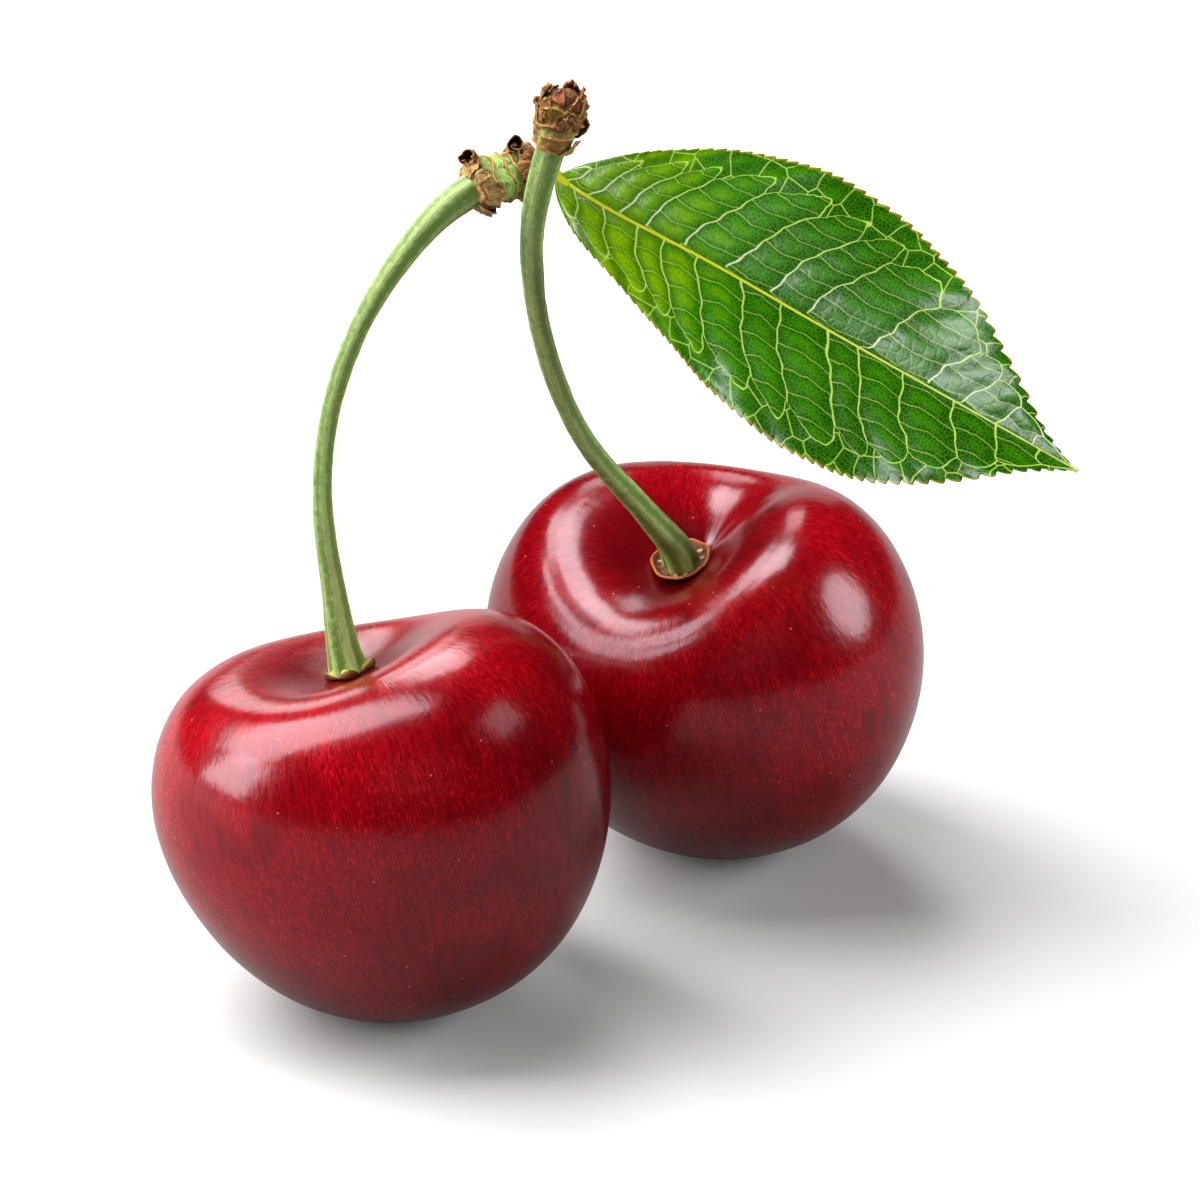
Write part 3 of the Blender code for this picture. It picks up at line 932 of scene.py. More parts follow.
@dataclass
class Cherry:
    """One cherry. The outline is the CAD model's, on a fine grid."""

    name: str
    centre: Point
    axis: Point  # the way its stem cavity faces
    seam_turn: float  # degrees about the axis, from +X to the side with the seam
    radius: float
    depth_share: float  # thickness through the seam, as a share of the width
    cavity_depth: float
    cavity_angle: float  # half opening of the cavity in radians, seen from the centre
    cheek_lift: float
    notch_depth: float
    notch_spread: float  # degrees
    grain: Grain

    OUTLINE = (0.958, 0.084, -0.032, -0.034, -0.014)  # cosine series of the radius, from pole to pole
    CAVITY_POWER = 2.8
    RIM_ANGLE = math.radians(29)
    SEAM_SPREAD = math.radians(24)
    SEAM_DEPTH = 0.16
    TIP_DIMPLE = 0.35
    TIP_SPREAD = math.radians(9)
    FOOT_SINK = 0.3
    SIDES = 288
    RINGS = 200
    CROWDING = 1.2  # how much closer the rings lie in the cavity
    SWELL = 0.035  # unevenness of the skin
    SWELL_PITCH = 5.0
    RIPPLE_PITCH = 1.9
    LOW_SPAN = (-2.0, -9.5)  # heights from the centre between which the skin turns darker
    # The cavity's shade is painted into the skin's colour.
    CAVITY_SPAN = (0.62, 0.30)  # angles between which the cavity's shade sets in

    def skin_radius(self, polar: np.ndarray, turn: np.ndarray) -> np.ndarray:
        """Centre to skin.

        Args:
            polar: Angle from the axis.
            turn: Angle round the axis from the seam's side.

        Returns:
            The radius in millimetres.
        """
        outline = sum(share * np.cos(k * polar) for k, share in enumerate(self.OUTLINE))
        flatter = 1 - (1 - self.depth_share) * (np.cos(turn) * np.sin(polar)) ** 2
        cavity = self.cavity_depth * hump(polar, 0, self.cavity_angle, self.CAVITY_POWER)
        square = (polar / self.RIM_ANGLE) ** 2
        rim = (square * np.exp(1 - square)) ** 1.5
        off_seam = np.arctan2(np.sin(turn), np.cos(turn))
        seam = self.SEAM_DEPTH * np.sin(polar) ** 2 * hump(off_seam, 0, self.SEAM_SPREAD)
        notch = self.notch_depth * rim * hump(off_seam, 0, math.radians(self.notch_spread))
        cheeks = -self.cheek_lift * rim * np.cos(2 * turn)
        tip = self.TIP_DIMPLE * hump(polar, math.pi, self.TIP_SPREAD)
        return self.radius * outline * flatter - cavity + cheeks - seam - notch - tip

    def skin(self, polar: np.ndarray, turn: np.ndarray) -> np.ndarray:
        """Layout points on the skin.

        Args:
            polar: Angles from the axis.
            turn: Angles round it.

        Returns:
            Points with three numbers on the last axis.
        """
        polar, turn = np.broadcast_arrays(np.asarray(polar, float), np.asarray(turn, float))
        radius = self.skin_radius(polar, turn)
        local = np.stack([np.sin(polar) * np.cos(turn), np.sin(polar) * np.sin(turn), np.cos(polar)], axis=-1)
        upright = Vector((0, 0, 1)).rotation_difference(Vector(self.axis))
        turned = upright @ Quaternion((0, 0, 1), math.radians(self.seam_turn))
        return np.array(self.centre) + (local * radius[..., None]) @ np.array(turned.to_matrix()).T

    def floor(self) -> np.ndarray:
        """Where the axis meets the bottom of the stem cavity."""
        return self.skin(0.0, 0.0)

    def lowest(self) -> float:
        """Height of the lowest point, before the foot is pressed flat.

        Returns:
            The height in layout millimetres.
        """
        polar = np.linspace(math.pi / 2, math.pi, 91)[:, None]
        turn = np.linspace(0, 2 * math.pi, 181)[None, :]
        return float(self.skin(polar, turn)[..., 2].min())

    def outer_points(self) -> np.ndarray:
        """Points all over the skin, in layout millimetres."""
        polar = np.linspace(0.02, math.pi, 120)[:, None]
        return self.skin(polar, np.linspace(0, 2 * math.pi, 160)[None, :]).reshape(-1, 3)

    def stand(self, ground: float) -> None:
        """Raises or lowers the fruit until its foot sinks just below the ground."""
        x, y, z = self.centre
        self.centre = (x, y, z + ground - self.FOOT_SINK - self.lowest())

    def build(self, layout: Layout, ground: float, material: bpy.types.Material) -> None:
        """Makes the fruit's skin.

        Args:
            layout: Places it in the frame.
            ground: Height of the surface that its foot is pressed flat on.
            material: The skin.
        """
        share = np.linspace(0.0, 1.0, self.RINGS + 2)[1:-1, None]
        polar = math.pi * share**self.CROWDING
        turn = once_round(self.SIDES)
        points = self.skin(polar, turn)
        outwards = points - np.array(self.centre)
        outwards /= np.linalg.norm(outwards, axis=-1, keepdims=True)
        swell = self.grain.at(points, self.SWELL_PITCH) + 0.35 * self.grain.at(points, self.RIPPLE_PITCH)
        points += outwards * (self.SWELL * swell)[..., None]
        points[..., 2] = np.maximum(points[..., 2], ground)
        polar, turn = np.broadcast_arrays(polar, turn)
        meridian = np.stack([np.cos(turn), np.sin(turn), polar], axis=-1)
        low_down = smooth_step(*self.LOW_SPAN, outwards[..., 2] * self.radius)
        # cavity: where the painted shade in the stem cavity goes
        cavity = smooth_step(*self.CAVITY_SPAN, polar)
        patch = Patch(points, {"meridian": meridian, "low_down": low_down, "cavity": cavity})
        layout.build(self.name + "_skin", [patch], material, [self.name], "cherry_skin")


# Collars -------------------------------------------------------------------------------------


class CollarForm(Enum):
    """How the dry ring at a stalk's foot has kept."""

    LOBED = "lobed"
    DISH = "dish"


@dataclass
class Collar:
    """The dry ring that the flower left round the stalk's foot."""

    name: str
    form: CollarForm
    radius: float
    cherry: Cherry
    grain: Grain
    knots: int  # bumps in a ring round the stalk

    SIDES = 160
    GAP = 0.02
    BUMPS = ((0.05, 0.42), (0.03, 0.2))  # height and pitch

    def wall_rise(self, reach: np.ndarray) -> np.ndarray:
        """How far the cavity's wall has risen above its floor.

        Args:
            reach: Distance from the axis in millimetres.

        Returns:
            The rise in millimetres.
        """
        floor = float(self.cherry.skin_radius(np.array(0.0), np.array(0.0)))
        polar = np.asarray(reach) / floor
        turns = math.pi * (np.arange(8) + 0.5) / 4
        radius = np.max([self.cherry.skin_radius(polar, turn) for turn in turns], axis=0)
        return np.maximum(0.0, radius * np.cos(polar) - floor)

    def edge(self, turn: np.ndarray) -> np.ndarray:
        """The outline's reach round the collar.

        Args:
            turn: Angle round the stalk.

        Returns:
            Shares of the collar's radius.
        """
        if self.form is CollarForm.LOBED:
            pointed = self.lobes(turn) ** 1.6
            return 0.72 + 0.34 * pointed + 0.05 * np.sin(3 * turn + 1.0)
        return 0.97 + 0.025 * np.sin(3 * turn + 0.7) + 0.02 * np.sin(7 * turn)

    @staticmethod
    def lobes(turn: np.ndarray) -> np.ndarray:
        """Five lobes round the stalk, from 0 between them to 1 at their middles."""
        return np.abs(np.cos(2.5 * turn + 0.4))

    def height(self, out: np.ndarray, turn: np.ndarray) -> np.ndarray:
        """Height of the upper face above the cavity's wall.

        Args:
            out: Share of the way from the middle to the edge.
            turn: Angle round the stalk.

        Returns:
            Height in millimetres.
        """
        knots = self.knot_shape(out, turn)
        if self.form is CollarForm.LOBED:
            sheath = 0.55 * hump(out, 0, 0.72, 6)
            curl = 0.42 * smooth_step(0.72, 1.0, out) * self.lobes(turn) ** 2
            return 0.12 + sheath + curl + 0.34 * knots
        lip = 0.17 * hump(out, 0.93, 0.055)
        ring = 0.10 * hump(out, 0.62, 0.10)
        sheath = 0.35 * hump(out, 0, 0.58, 8)
        return 0.08 + lip + ring + sheath + 0.17 * knots

    def knot_shape(self, out: np.ndarray, turn: np.ndarray) -> np.ndarray:
        """Round bumps in a ring, uneven in size.

        Args:
            out: Share of the way from the middle to the edge.
            turn: Angle round the stalk.

        Returns:
            Heights from 0 to 1.
        """
        place = 0.80 if self.form is CollarForm.LOBED else 0.70
        wobble = 0.35 * np.sin(2 * turn + 1.3)
        around = np.cos(self.knots * turn / 2 + wobble) ** 2
        uneven = 0.65 + 0.35 * np.sin(3 * turn + 0.5)
        return around * uneven * hump(out, place, 0.13)

    def build(self, layout: Layout, finish: CollarFinish) -> None:
        """Makes the collar.

        Args:
            layout: Places it in the frame.
            finish: Its colours.
        """
        along = unit(self.cherry.axis)
        side = unit(np.cross((0, 1, 0), along))
        front = np.cross(along, side)
        turn = once_round(self.SIDES)
        under = np.array([0.06, 0.5, 0.9])[:, None]
        over = np.concatenate([[1.0, 0.99], np.linspace(0.97, 0.30, 46)])[:, None]
        out = np.concatenate([under, over])
        reach = out * self.radius * self.edge(turn)
        rise = self.wall_rise(reach) + self.GAP
        top = self.height(out, turn) * (1 - smooth_step(0.965, 1.01, out) * 0.85)
        lift = np.where(np.arange(len(out))[:, None] < len(under), 0.0, top)
        points = self.cherry.floor() + along * (rise + lift)[..., None]
        points = points + side * (reach * np.cos(turn))[..., None] + front * (reach * np.sin(turn))[..., None]
        rough = sum(high * self.grain.at(points, pitch) for high, pitch in self.BUMPS)
        points += along * (rough * (lift > 0))[..., None]
        out, knots = np.broadcast_arrays(out, self.knot_shape(out, turn))
        material = finish.material(self.name + "_husk")
        patch = Patch(points, {"out": out.copy(), "knots": knots.copy()})
        layout.build(self.name + "_ring", [patch], material, [self.name], "dry_scale")


# Stalks --------------------------------------------------------------------------------------


@dataclass
class Stalk:
    """One stalk: the route of its middle from the fruit to the knob, and its thickness."""

    name: str
    route: tuple[Point, ...]
    foot_radius: float
    slim_radius: float
    head_radius: float
    # the stained stretches; build adds painted shade that makes them darker on one side
    stain_with_side_shade: tuple[tuple[float, float, float], ...]  # stained stretches: where, how long, how strong
    cherry: Cherry
    clearance: float  # from the cavity's floor to where the CAD stalk starts
    grain: Grain

    SIDES = 56
    RINGS = 420
    RIDGES = 6
    ROOT = 0.2  # from the cavity's floor to the stalk's first point
    RIDGE_HEIGHT = 0.036  # share of the radius
    LUMPS = ((0.035, 1.7), (0.014, 0.5))  # height and pitch

    def radius_at(self, share: np.ndarray) -> np.ndarray:
        """Half thickness: swollen at the foot, slim in the middle and thicker at the head.

        Args:
            share: Share of the stalk's length.

        Returns:
            The radius in millimetres.
        """
        foot = (self.foot_radius - self.slim_radius) * np.exp(-share / 0.13)
        head = (self.head_radius - self.slim_radius) * hump(1 - share, 0, 0.2, 1.4)
        return self.slim_radius + foot + head

    def build(self, layout: Layout, top: np.ndarray, finish: StalkFinish) -> None:
        """Makes the stalk, from inside its collar to inside its knob.

        Args:
            layout: Places it in the frame.
            top: A point inside the knob.
            finish: Its colours.
        """
        axis = unit(self.cherry.axis)
        floor = self.cherry.floor()
        roots = [floor + axis * self.ROOT, floor + axis * self.clearance]
        path = smooth_path([*roots, *self.route, top], self.RINGS)
        side, up = round_frames(path)
        share = np.linspace(0, 1, self.RINGS)[:, None]
        length = float(np.linalg.norm(np.diff(path, axis=0), axis=1).sum())
        turn = once_round(self.SIDES)
        twist = turn * self.RIDGES + 1.6 * share * math.pi + 0.5 * np.sin(2 * turn)
        ridge = np.cos(twist) * 0.7 + 0.3 * np.cos(twist * 0.5 + 1.0)
        foot = np.exp(-share / 0.07)
        ridge_height = self.RIDGE_HEIGHT + 0.12 * foot + 0.06 * smooth_step(0.88, 1.0, share)
        radius = self.radius_at(share) * (1 + ridge_height * ridge)
        ring = spokes(side[:, None], up[:, None], turn)
        points = path[:, None] + ring * radius[..., None]
        lumps = sum(high * self.grain.at(points, pitch) for high, pitch in self.LUMPS)
        points += ring * lumps[..., None]
        strand = grid_of(np.cos(turn), np.sin(turn), share * length)
        stain_with_side_shade = sum(strong * hump(share, where, long) for where, long, strong in self.stain_with_side_shade)
        # painted shade: the stains run darker on one side of the stalk
        stain_with_side_shade = stain_with_side_shade * (0.75 + 0.25 * np.cos(turn + 2.0))
        patch = Patch(points, {"strand": strand, "ridge": ridge * (1 + 1.4 * foot), "stain_with_side_shade": stain_with_side_shade})
        material = finish.material(self.name + "_skin")
        layout.build(self.name + "_stem", [patch], material, [self.name], "stalk_green")


# Knobs and bud scales ------------------------------------------------------------------------


@dataclass
class Knob:
    """A woody end: its middle line, its girth, and the rings that old leaves left."""

    name: str
    start: Point
    end: Point
    girth: tuple[tuple[float, float], ...]  # share of the length, radius
    rings: tuple[tuple[float, float, float], ...]  # share of the length, width, height in mm
    grain: Grain

    LUMP = 0.05
    STALK_DEPTH = 0.6  # how far the stalk runs into it
    WAIST = 0.97  # how thin it is between the rings, as a share of its girth
    BUMP_PITCHES = (0.85, 0.38, 0.17)
    SIDES = 144
    ROWS = 150

    def mouth(self) -> np.ndarray:
        """Where the stalk ends inside the knob, in layout millimetres."""
        return np.array(self.start) + self.directions()[2] * self.STALK_DEPTH

    def directions(self) -> tuple[np.ndarray, float, np.ndarray, np.ndarray, np.ndarray]:
        """Where the knob lies.

        Returns:
            Its start, its length and its three directions: along, side and up.
        """
        start = np.array(self.start)
        span = np.array(self.end) - start
        along = unit(span)
        side = unit(np.cross(along, (0.0, 1.0, 0.2)))
        return start, float(np.linalg.norm(span)), along, side, np.cross(along, side)

    def radius_at(self, share: np.ndarray, turn: np.ndarray) -> np.ndarray:
        """Middle line to surface.

        Args:
            share: Share of the knob's length.
            turn: Angle round it.

        Returns:
            The radius in millimetres.
        """
        shares, radii = zip(*self.girth)
        uneven = np.sin(3 * turn + 9 * share) + 0.6 * np.sin(5 * turn - 14 * share)
        return np.interp(share, shares, radii) * (1 + self.LUMP * uneven)

    def build(self, layout: Layout, finish: BarkFinish) -> None:
        """Makes the knob's body with its rings, lumps and hollows.

        Args:
            layout: Places it in the frame.
            finish: Its bark.
        """
        start, length, along, side, up = self.directions()
        share = np.linspace(0, 1, self.ROWS)[:, None]
        turn = once_round(self.SIDES)
        radius = self.radius_at(share, turn) * self.WAIST
        closing = np.sqrt(np.clip(1 - ((share - 0.5) / 0.5) ** 8, 0.02, 1))
        ringed = np.zeros_like(radius)
        for place, width, height in self.rings:
            wavy = place + 0.030 * np.sin(2 * turn + 7 * place) + 0.018 * np.sin(5 * turn + 3 * place)
            ring_share = hump(share, wavy, width)
            radius = radius + height * ring_share
            ringed = np.maximum(ringed, ring_share)
        ring = spokes(side, up, turn)
        points = start + along * (share * length)[..., None] + ring * (radius * closing)[..., None]
        coarse, middling, fine = (self.grain.at(points, pitch) for pitch in self.BUMP_PITCHES)
        bumps = 0.15 * coarse + 0.10 * middling + 0.04 * fine
        points = points + ring * bumps[..., None]
        # where painted shade darkens the low spots of the bark
        hollow_shade = smooth_step(0.1, 0.9, -(0.6 * coarse + 0.5 * middling))
        band = np.broadcast_to(share, hollow_shade.shape)
        patch = Patch(points, {"band": band.copy(), "hollow_shade": hollow_shade, "ring": ringed})
        material = finish.material(self.name + "_bark")
        layout.build(self.name + "_wood", [patch], material, [self.name], "knob_bark")


@dataclass
class BudScale:
    """A dry scale on a knob: where it is rooted, its size and how it curls."""

    name: str
    knob: Knob
    along: float  # share of the knob's length where it is rooted
    turn: float  # degrees round the knob
    length: float
    width: float
    lift: float  # how far its tip stands off
    curl: float = 0.5  # how far its sides roll up

    WRAP_RADIUS = 1.45
    CLEAR = 0.10  # from the bark to the scale
    SINK = 0.22  # how far its root dips into the bark
    ROWS = 26
    COLUMNS = 22
    THICKNESS = 0.13

    def patch(self, grain: Grain) -> Patch:
        """The scale's surface: its outer face, a thin edge and its inner face.

        Args:
            grain: Unevenness of its edge and faces.

        Returns:
            The patch.
        """
        start, length, along, side, up = self.knob.directions()
        out = np.linspace(0, 1, self.ROWS)[:, None]
        across = np.linspace(-1, 1, self.COLUMNS)[None, :]
        share = self.along + out * self.length / length
        seed = np.array([self.turn * 0.11, self.along * 7.0, self.width])
        fray_place = grid_of(out * 3 + seed[0], across * 2 + seed[1], seed[2])
        fray = grain.at(fray_place, 0.5)
        half_turn = self.width / (2 * self.WRAP_RADIUS) * np.sqrt(1 - 0.8 * out**3) * (1 + 0.10 * fray)
        share = share - 0.10 * self.length / length * np.abs(across) ** 2 * out + 0.05 * fray * out**4
        turn = math.radians(self.turn) + half_turn * across
        outwards = spokes(side, up, turn)
        reach = self.knob.radius_at(np.clip(share, 0, 1), turn) + self.CLEAR
        curled = self.curl * 0.30 * np.abs(across) ** 3 * smooth_step(0.1, 0.8, out)
        reach = reach + self.lift * out**2 + curled
        reach = reach + 0.05 * grain.at(fray_place, 0.9) * out - self.SINK * smooth_step(0.16, 0.0, out)
        thick = self.THICKNESS * (1 - 0.65 * np.abs(across) ** 4) * (1 - 0.6 * out**2)
        middle = start + along * (share * length)[..., None]
        outer = middle + outwards * (reach + thick / 2)[..., None]
        inner = middle + outwards * (reach - thick / 2)[..., None]
        edge = np.maximum(np.abs(across), out**2) * np.ones_like(out)
        strand = grid_of(across * self.width, self.turn * 0.05, out * self.length)
        values = {
            "edge": sheet(edge, edge),
            "inner": sheet(np.zeros_like(edge), np.ones_like(edge)),
            "strand": sheet(strand, strand),
        }
        return Patch(sheet(outer, inner), values)

    def build(self, layout: Layout, grain: Grain, material: bpy.types.Material) -> None:
        """Makes the scale.

        Args:
            layout: Places it in the frame.
            grain: Unevenness of its edge and faces.
            material: Its finish.
        """
        node = "bud_scale_" + self.name
        layout.build("scale_" + self.name, [self.patch(grain)], material, [node], "dry_scale")


@dataclass
class RolledScale:
    """A dry scale that has rolled up into a short tube with an open mouth, made dark by the painted shade on
    its inner face.
    """

    name: str
    facing: Point  # the way its mouth looks
    radius: float
    length: float

    TURNS = 1.15
    ROWS = 24
    COLUMNS = 70
    THICKNESS = 0.12

    def build(self, layout: Layout, grain: Grain, material: bpy.types.Material) -> None:
        """Makes the rolled scale.

        Args:
            layout: Places it in the frame.
            grain: Unevenness of its edge and faces.
            material: Its finish.
        """
        node = "bud_scale_" + self.name
        along = unit(self.facing)
        side = unit(np.cross(along, (0.2, 0.1, 1.0)))
        up = np.cross(along, side)
        out = np.linspace(0, 1, self.ROWS)[:, None]
        wound = np.linspace(0, 1, self.COLUMNS)[None, :]
        turn = 2 * math.pi * self.TURNS * wound + 0.6
        radius = self.radius * (0.62 + 0.42 * wound) * (0.55 + 0.45 * smooth_step(0.0, 0.6, out))
        radius = radius * (1 + 0.10 * smooth_step(0.75, 1.0, out) + 0.08 * np.sin(3 * turn))
        ragged = 0.10 * np.sin(4 * turn) + 0.06 * np.sin(9 * turn)
        middle = self.middle(layout, node) + along * (self.length * (out - 0.5) + ragged * out**2)[..., None]
        way = spokes(side, up, turn)
        rough = 0.05 * grain.at(middle + way * radius[..., None], 0.4)
        thick = self.THICKNESS * np.sqrt(1 - 0.9 * np.abs(2 * wound - 1) ** 6) * (1 - 0.6 * out**4)
        outer = middle + way * (radius + rough + thick / 2)[..., None]
        inner = middle + way * (radius + rough - thick / 2)[..., None]
        edge = np.maximum(np.abs(2 * wound - 1) ** 3, out**3)
        strand = grid_of(turn * self.radius, 0.3, out * self.length)
        faces = {
            "points": (outer, inner),
            "edge": (edge, edge),
            "inner": (np.zeros_like(edge), np.ones_like(edge)),
            "strand": (strand, strand),
        }
        closed = {key: self.round_the_edge(*pair) for key, pair in faces.items()}
        patch = Patch(closed.pop("points"), closed)
        layout.build("scale_" + self.name, [patch], material, [node], "dry_scale")

    @staticmethod
    def round_the_edge(outer: np.ndarray, inner: np.ndarray) -> np.ndarray:
        """Joins the two faces into loops that run out along one and back along the other."""
        return np.concatenate([outer, inner[::-1]], axis=0).swapaxes(0, 1).copy()

    @staticmethod
    def middle(layout: Layout, node: str) -> np.ndarray:
        """The middle of the CAD scale, in layout millimetres."""
        low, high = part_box(node)
        return layout.millimetres((np.array(low) + np.array(high)) / 2)


@dataclass
class Flakes:
    """Small torn scales scattered over a stretch of a knob."""

    name: str
    knob: Knob
    count: int
    stretch: tuple[float, float]  # shares of the knob's length
    size: float
    seed: int

    STEP_ROUND = 137.5  # degrees from one flake to the next

    def build(self, layout: Layout, grain: Grain, material: bpy.types.Material) -> None:
        """Makes the flakes as one piece.

        Args:
            layout: Places them in the frame.
            grain: Unevenness of their edges and faces.
            material: Their finish.
        """
        draw = np.random.default_rng(self.seed)
        patches = []
        for number in range(self.count):
            part = number + draw.uniform(0, 1)
            along = self.stretch[0] + (self.stretch[1] - self.stretch[0]) * part / self.count
            turn = number * self.STEP_ROUND + draw.uniform(-25, 25)
            long, wide = self.size * draw.uniform(0.6, 1.2, 2)
            lift, curl = draw.uniform(0.0, 0.28), draw.uniform(0.2, 1.0)
            flake = BudScale("flake", self.knob, along, turn, long, wide * 1.2, lift, curl)
            patches.append(flake.patch(grain))
        layout.build(self.name, patches, material, [], "dry_scale")


# Leaf ----------------------------------------------------------------------------------------


@dataclass
class BladeHalf:
    """Half of the blade: its outline and the course of its side veins."""

    width: float
    widest_at: float
    bluntness: float
    taper: float
    vein_starts: tuple[float, ...]  # shares of the midrib where side veins leave it
    vein_lean: float  # how far a vein runs ahead for each millimetre across, at the midrib
    vein_bend: float  # how much more it does near the edge
    teeth: float  # saw teeth along the edge

    MORE_VEINS = 8  # numbered on past both ends of the blade

    def reach(self, share: np.ndarray) -> np.ndarray:
        """Midrib to edge.

        Args:
            share: Share of the blade's length.

        Returns:
            The distance in millimetres.
        """
        power = math.log(0.5) / math.log(self.widest_at)
        inside = np.clip(share, 0, 1)
        wave = np.sin(math.pi * inside**power)
        return self.width * np.clip(wave, 0, 1) ** (self.bluntness + self.taper * inside)

    def saw(self, share: np.ndarray) -> np.ndarray:
        """The saw teeth along the edge, which lean to the tip.

        Args:
            share: Share of the blade's length.

        Returns:
            Heights from 0 to 1.
        """
        phase = self.teeth * share**0.86 + 0.35 * np.sin(19 * share)
        part = phase - np.floor(phase)
        rising = np.sin(part / 0.8 * math.pi / 2)
        falling = np.cos((part - 0.8) / 0.2 * math.pi / 2)
        return np.where(part < 0.8, rising, falling) ** 0.9

    def vein_field(
        self, share: np.ndarray, away: np.ndarray, blade_length: float
    ) -> tuple[np.ndarray, np.ndarray]:
        """Numbers the side veins: a whole number lies on a vein.

        Args:
            share: Share of the blade's length.
            away: Share of the way from the midrib to the edge.
            blade_length: Length of the blade in millimetres.

        Returns:
            The running number, and how many millimetres one step of it spans.
        """
        width = np.maximum(self.reach(share), 0.3)
        ahead = width * (self.vein_lean * away + self.vein_bend * away**2.5) / blade_length
        root = share - ahead + 0.0035 * np.sin(9 * away + 25 * share)
        starts = np.array(self.vein_starts)
        first, last = starts[1] - starts[0], starts[-1] - starts[-2]
        more = self.MORE_VEINS
        before = starts[0] - first * np.arange(more, 0, -1)
        after = starts[-1] + last * np.arange(1, more + 1)
        line = np.concatenate([before, starts, after])
        count = np.arange(-more, len(starts) + more, dtype=float)
        row = np.interp(root, line, count)
        step = np.interp(root, (line[1:] + line[:-1]) / 2, np.diff(line)) * blade_length
        slope = self.vein_lean + 2.5 * self.vein_bend * away**1.5
        return row, step / np.sqrt(1 + slope**2)


@dataclass
class Leaf:
    """The leaf: a short petiole that spreads into a folded, quilted, saw-edged blade."""

    route: tuple[Point, ...]
    root: Point
    across: Point
    upper: BladeHalf
    lower: BladeHalf
    grain: Grain

    PETIOLE_RADIUS = 0.42
    PETIOLE_SHARE = 0.025
    PETIOLE_ROWS = 40
    PETIOLE_SIDES = 24
    THICKNESS = 0.24
    FOLD_SLOPE = 0.16
    TIP_FOLD = 0.10  # how much more the upper half stands up near the tip
    EDGE_DROOP = 0.011
    TOOTH_HEIGHT = 0.24
    TOOTH_LEAN = 0.22
    QUILT = 0.035  # how far the blade swells between side veins
    DENTS = 0.09
    DENT_PITCH = 4.5
    STATIONS = 560
    COLUMNS = 85

    def build(self, layout: Layout, finish: LeafFinish) -> None:
        """Makes the leaf.

        Args:
            layout: Places it in the frame.
            finish: Its colours.
        """
        path = smooth_path(self.route, self.STATIONS)
        length = float(np.linalg.norm(np.diff(path, axis=0), axis=1).sum())
        ahead = np.gradient(path, axis=0)
        ahead /= np.linalg.norm(ahead, axis=1, keepdims=True)
        across = np.array(self.across) - ahead * (ahead @ np.array(self.across))[:, None]
        across /= np.linalg.norm(across, axis=1, keepdims=True)
        normal = np.cross(ahead, across)
        station = np.linspace(0, 1, self.STATIONS)[:, None]
        share = (station - self.PETIOLE_SHARE) / (1 - self.PETIOLE_SHARE)
        inside = np.clip(share, 0, 1)
        even = np.linspace(-1, 1, self.COLUMNS)[None, :]
        sway = np.sign(even) * (1 - (1 - np.abs(even)) ** 1.25)
        rib = self.PETIOLE_RADIUS * (1 - 0.75 * inside)
        halves = [(self.upper, sway > 0), (self.lower, sway <= 0)]
        width, saw, row, gap = (np.zeros((self.STATIONS, self.COLUMNS)) for _ in range(4))
        away = np.abs(sway) * np.ones_like(share)
        for half, mask in halves:
            fade = smooth_step(0.0, 0.04, share) * smooth_step(1.0, 0.985, share)
            mask = np.broadcast_to(mask, away.shape)
            edge = half.reach(share) * np.ones_like(away)
            width[mask] = edge[mask]
            saw[mask] = (half.saw(inside) * fade * np.ones_like(away))[mask]
            blade_length = length * (1 - self.PETIOLE_SHARE)
            own_row, own_gap = half.vein_field(inside * np.ones_like(away), away, blade_length)
            row[mask], gap[mask] = own_row[mask], own_gap[mask]
        rim = smooth_step(0.90, 1.0, away)
        notches = self.TOOTH_HEIGHT * (1 - saw) * rim * smooth_step(0.2, 1.0, width)
        reach = sway * (np.maximum(rib, width) - notches)
        lean = self.TOOTH_LEAN * saw * rim
        fold = self.FOLD_SLOPE + self.TIP_FOLD * smooth_step(0.5, 0.95, share) * (reach > 0)
        rise = fold * np.abs(reach) - self.EDGE_DROOP * reach**2
        to_vein = np.abs(row - np.round(row)) * gap
        quilt = self.QUILT * smooth_step(0.0, 1.0, to_vein) * smooth_step(1.0, 0.75, away)
        quilt = quilt * smooth_step(0.3, 2.0, np.abs(reach))
        ripples = 0.14 * np.sin(share * 41 - sway * 2) * away**4
        wave = 0.22 * np.sin(share * 17 + sway * 1.5) * away**3 + ripples
        flatland = grid_of(share * length, reach, 0.0)
        dents = self.DENTS * self.grain.at(flatland, self.DENT_PITCH) * smooth_step(0.0, 2.5, np.abs(reach))
        rise = rise + quilt + (wave + dents) * smooth_step(0.4, 2.0, width)
        surface = path[:, None] + across[:, None] * reach[..., None] + normal[:, None] * rise[..., None]
        surface = surface + ahead[:, None] * lean[..., None]
        taper = np.sqrt(1 - 0.93 * away**6)
        swell = rib * hump(reach, 0, rib)
        thick = self.THICKNESS / 2 * taper
        front = surface + normal[:, None] * (thick + 0.25 * swell)[..., None]
        back = surface - normal[:, None] * (thick + swell * taper)[..., None]
        values = {
            "blade": grid_of(share * length, reach, away),
            "vein_row": row,
            "vein_gap": gap,
            "tooth": smooth_step(0.80, 0.97, saw) * smooth_step(0.955, 0.995, away),
            "back": np.zeros_like(away),
        }
        doubled = {key: sheet(array, array) for key, array in values.items()}
        doubled["back"][:, self.COLUMNS :] = 1.0
        patches = [Patch(sheet(front, back), doubled), self.petiole(path, doubled)]
        layout.build("leaf_blade", patches, finish.material(), ["leaf"], "leaf_green")

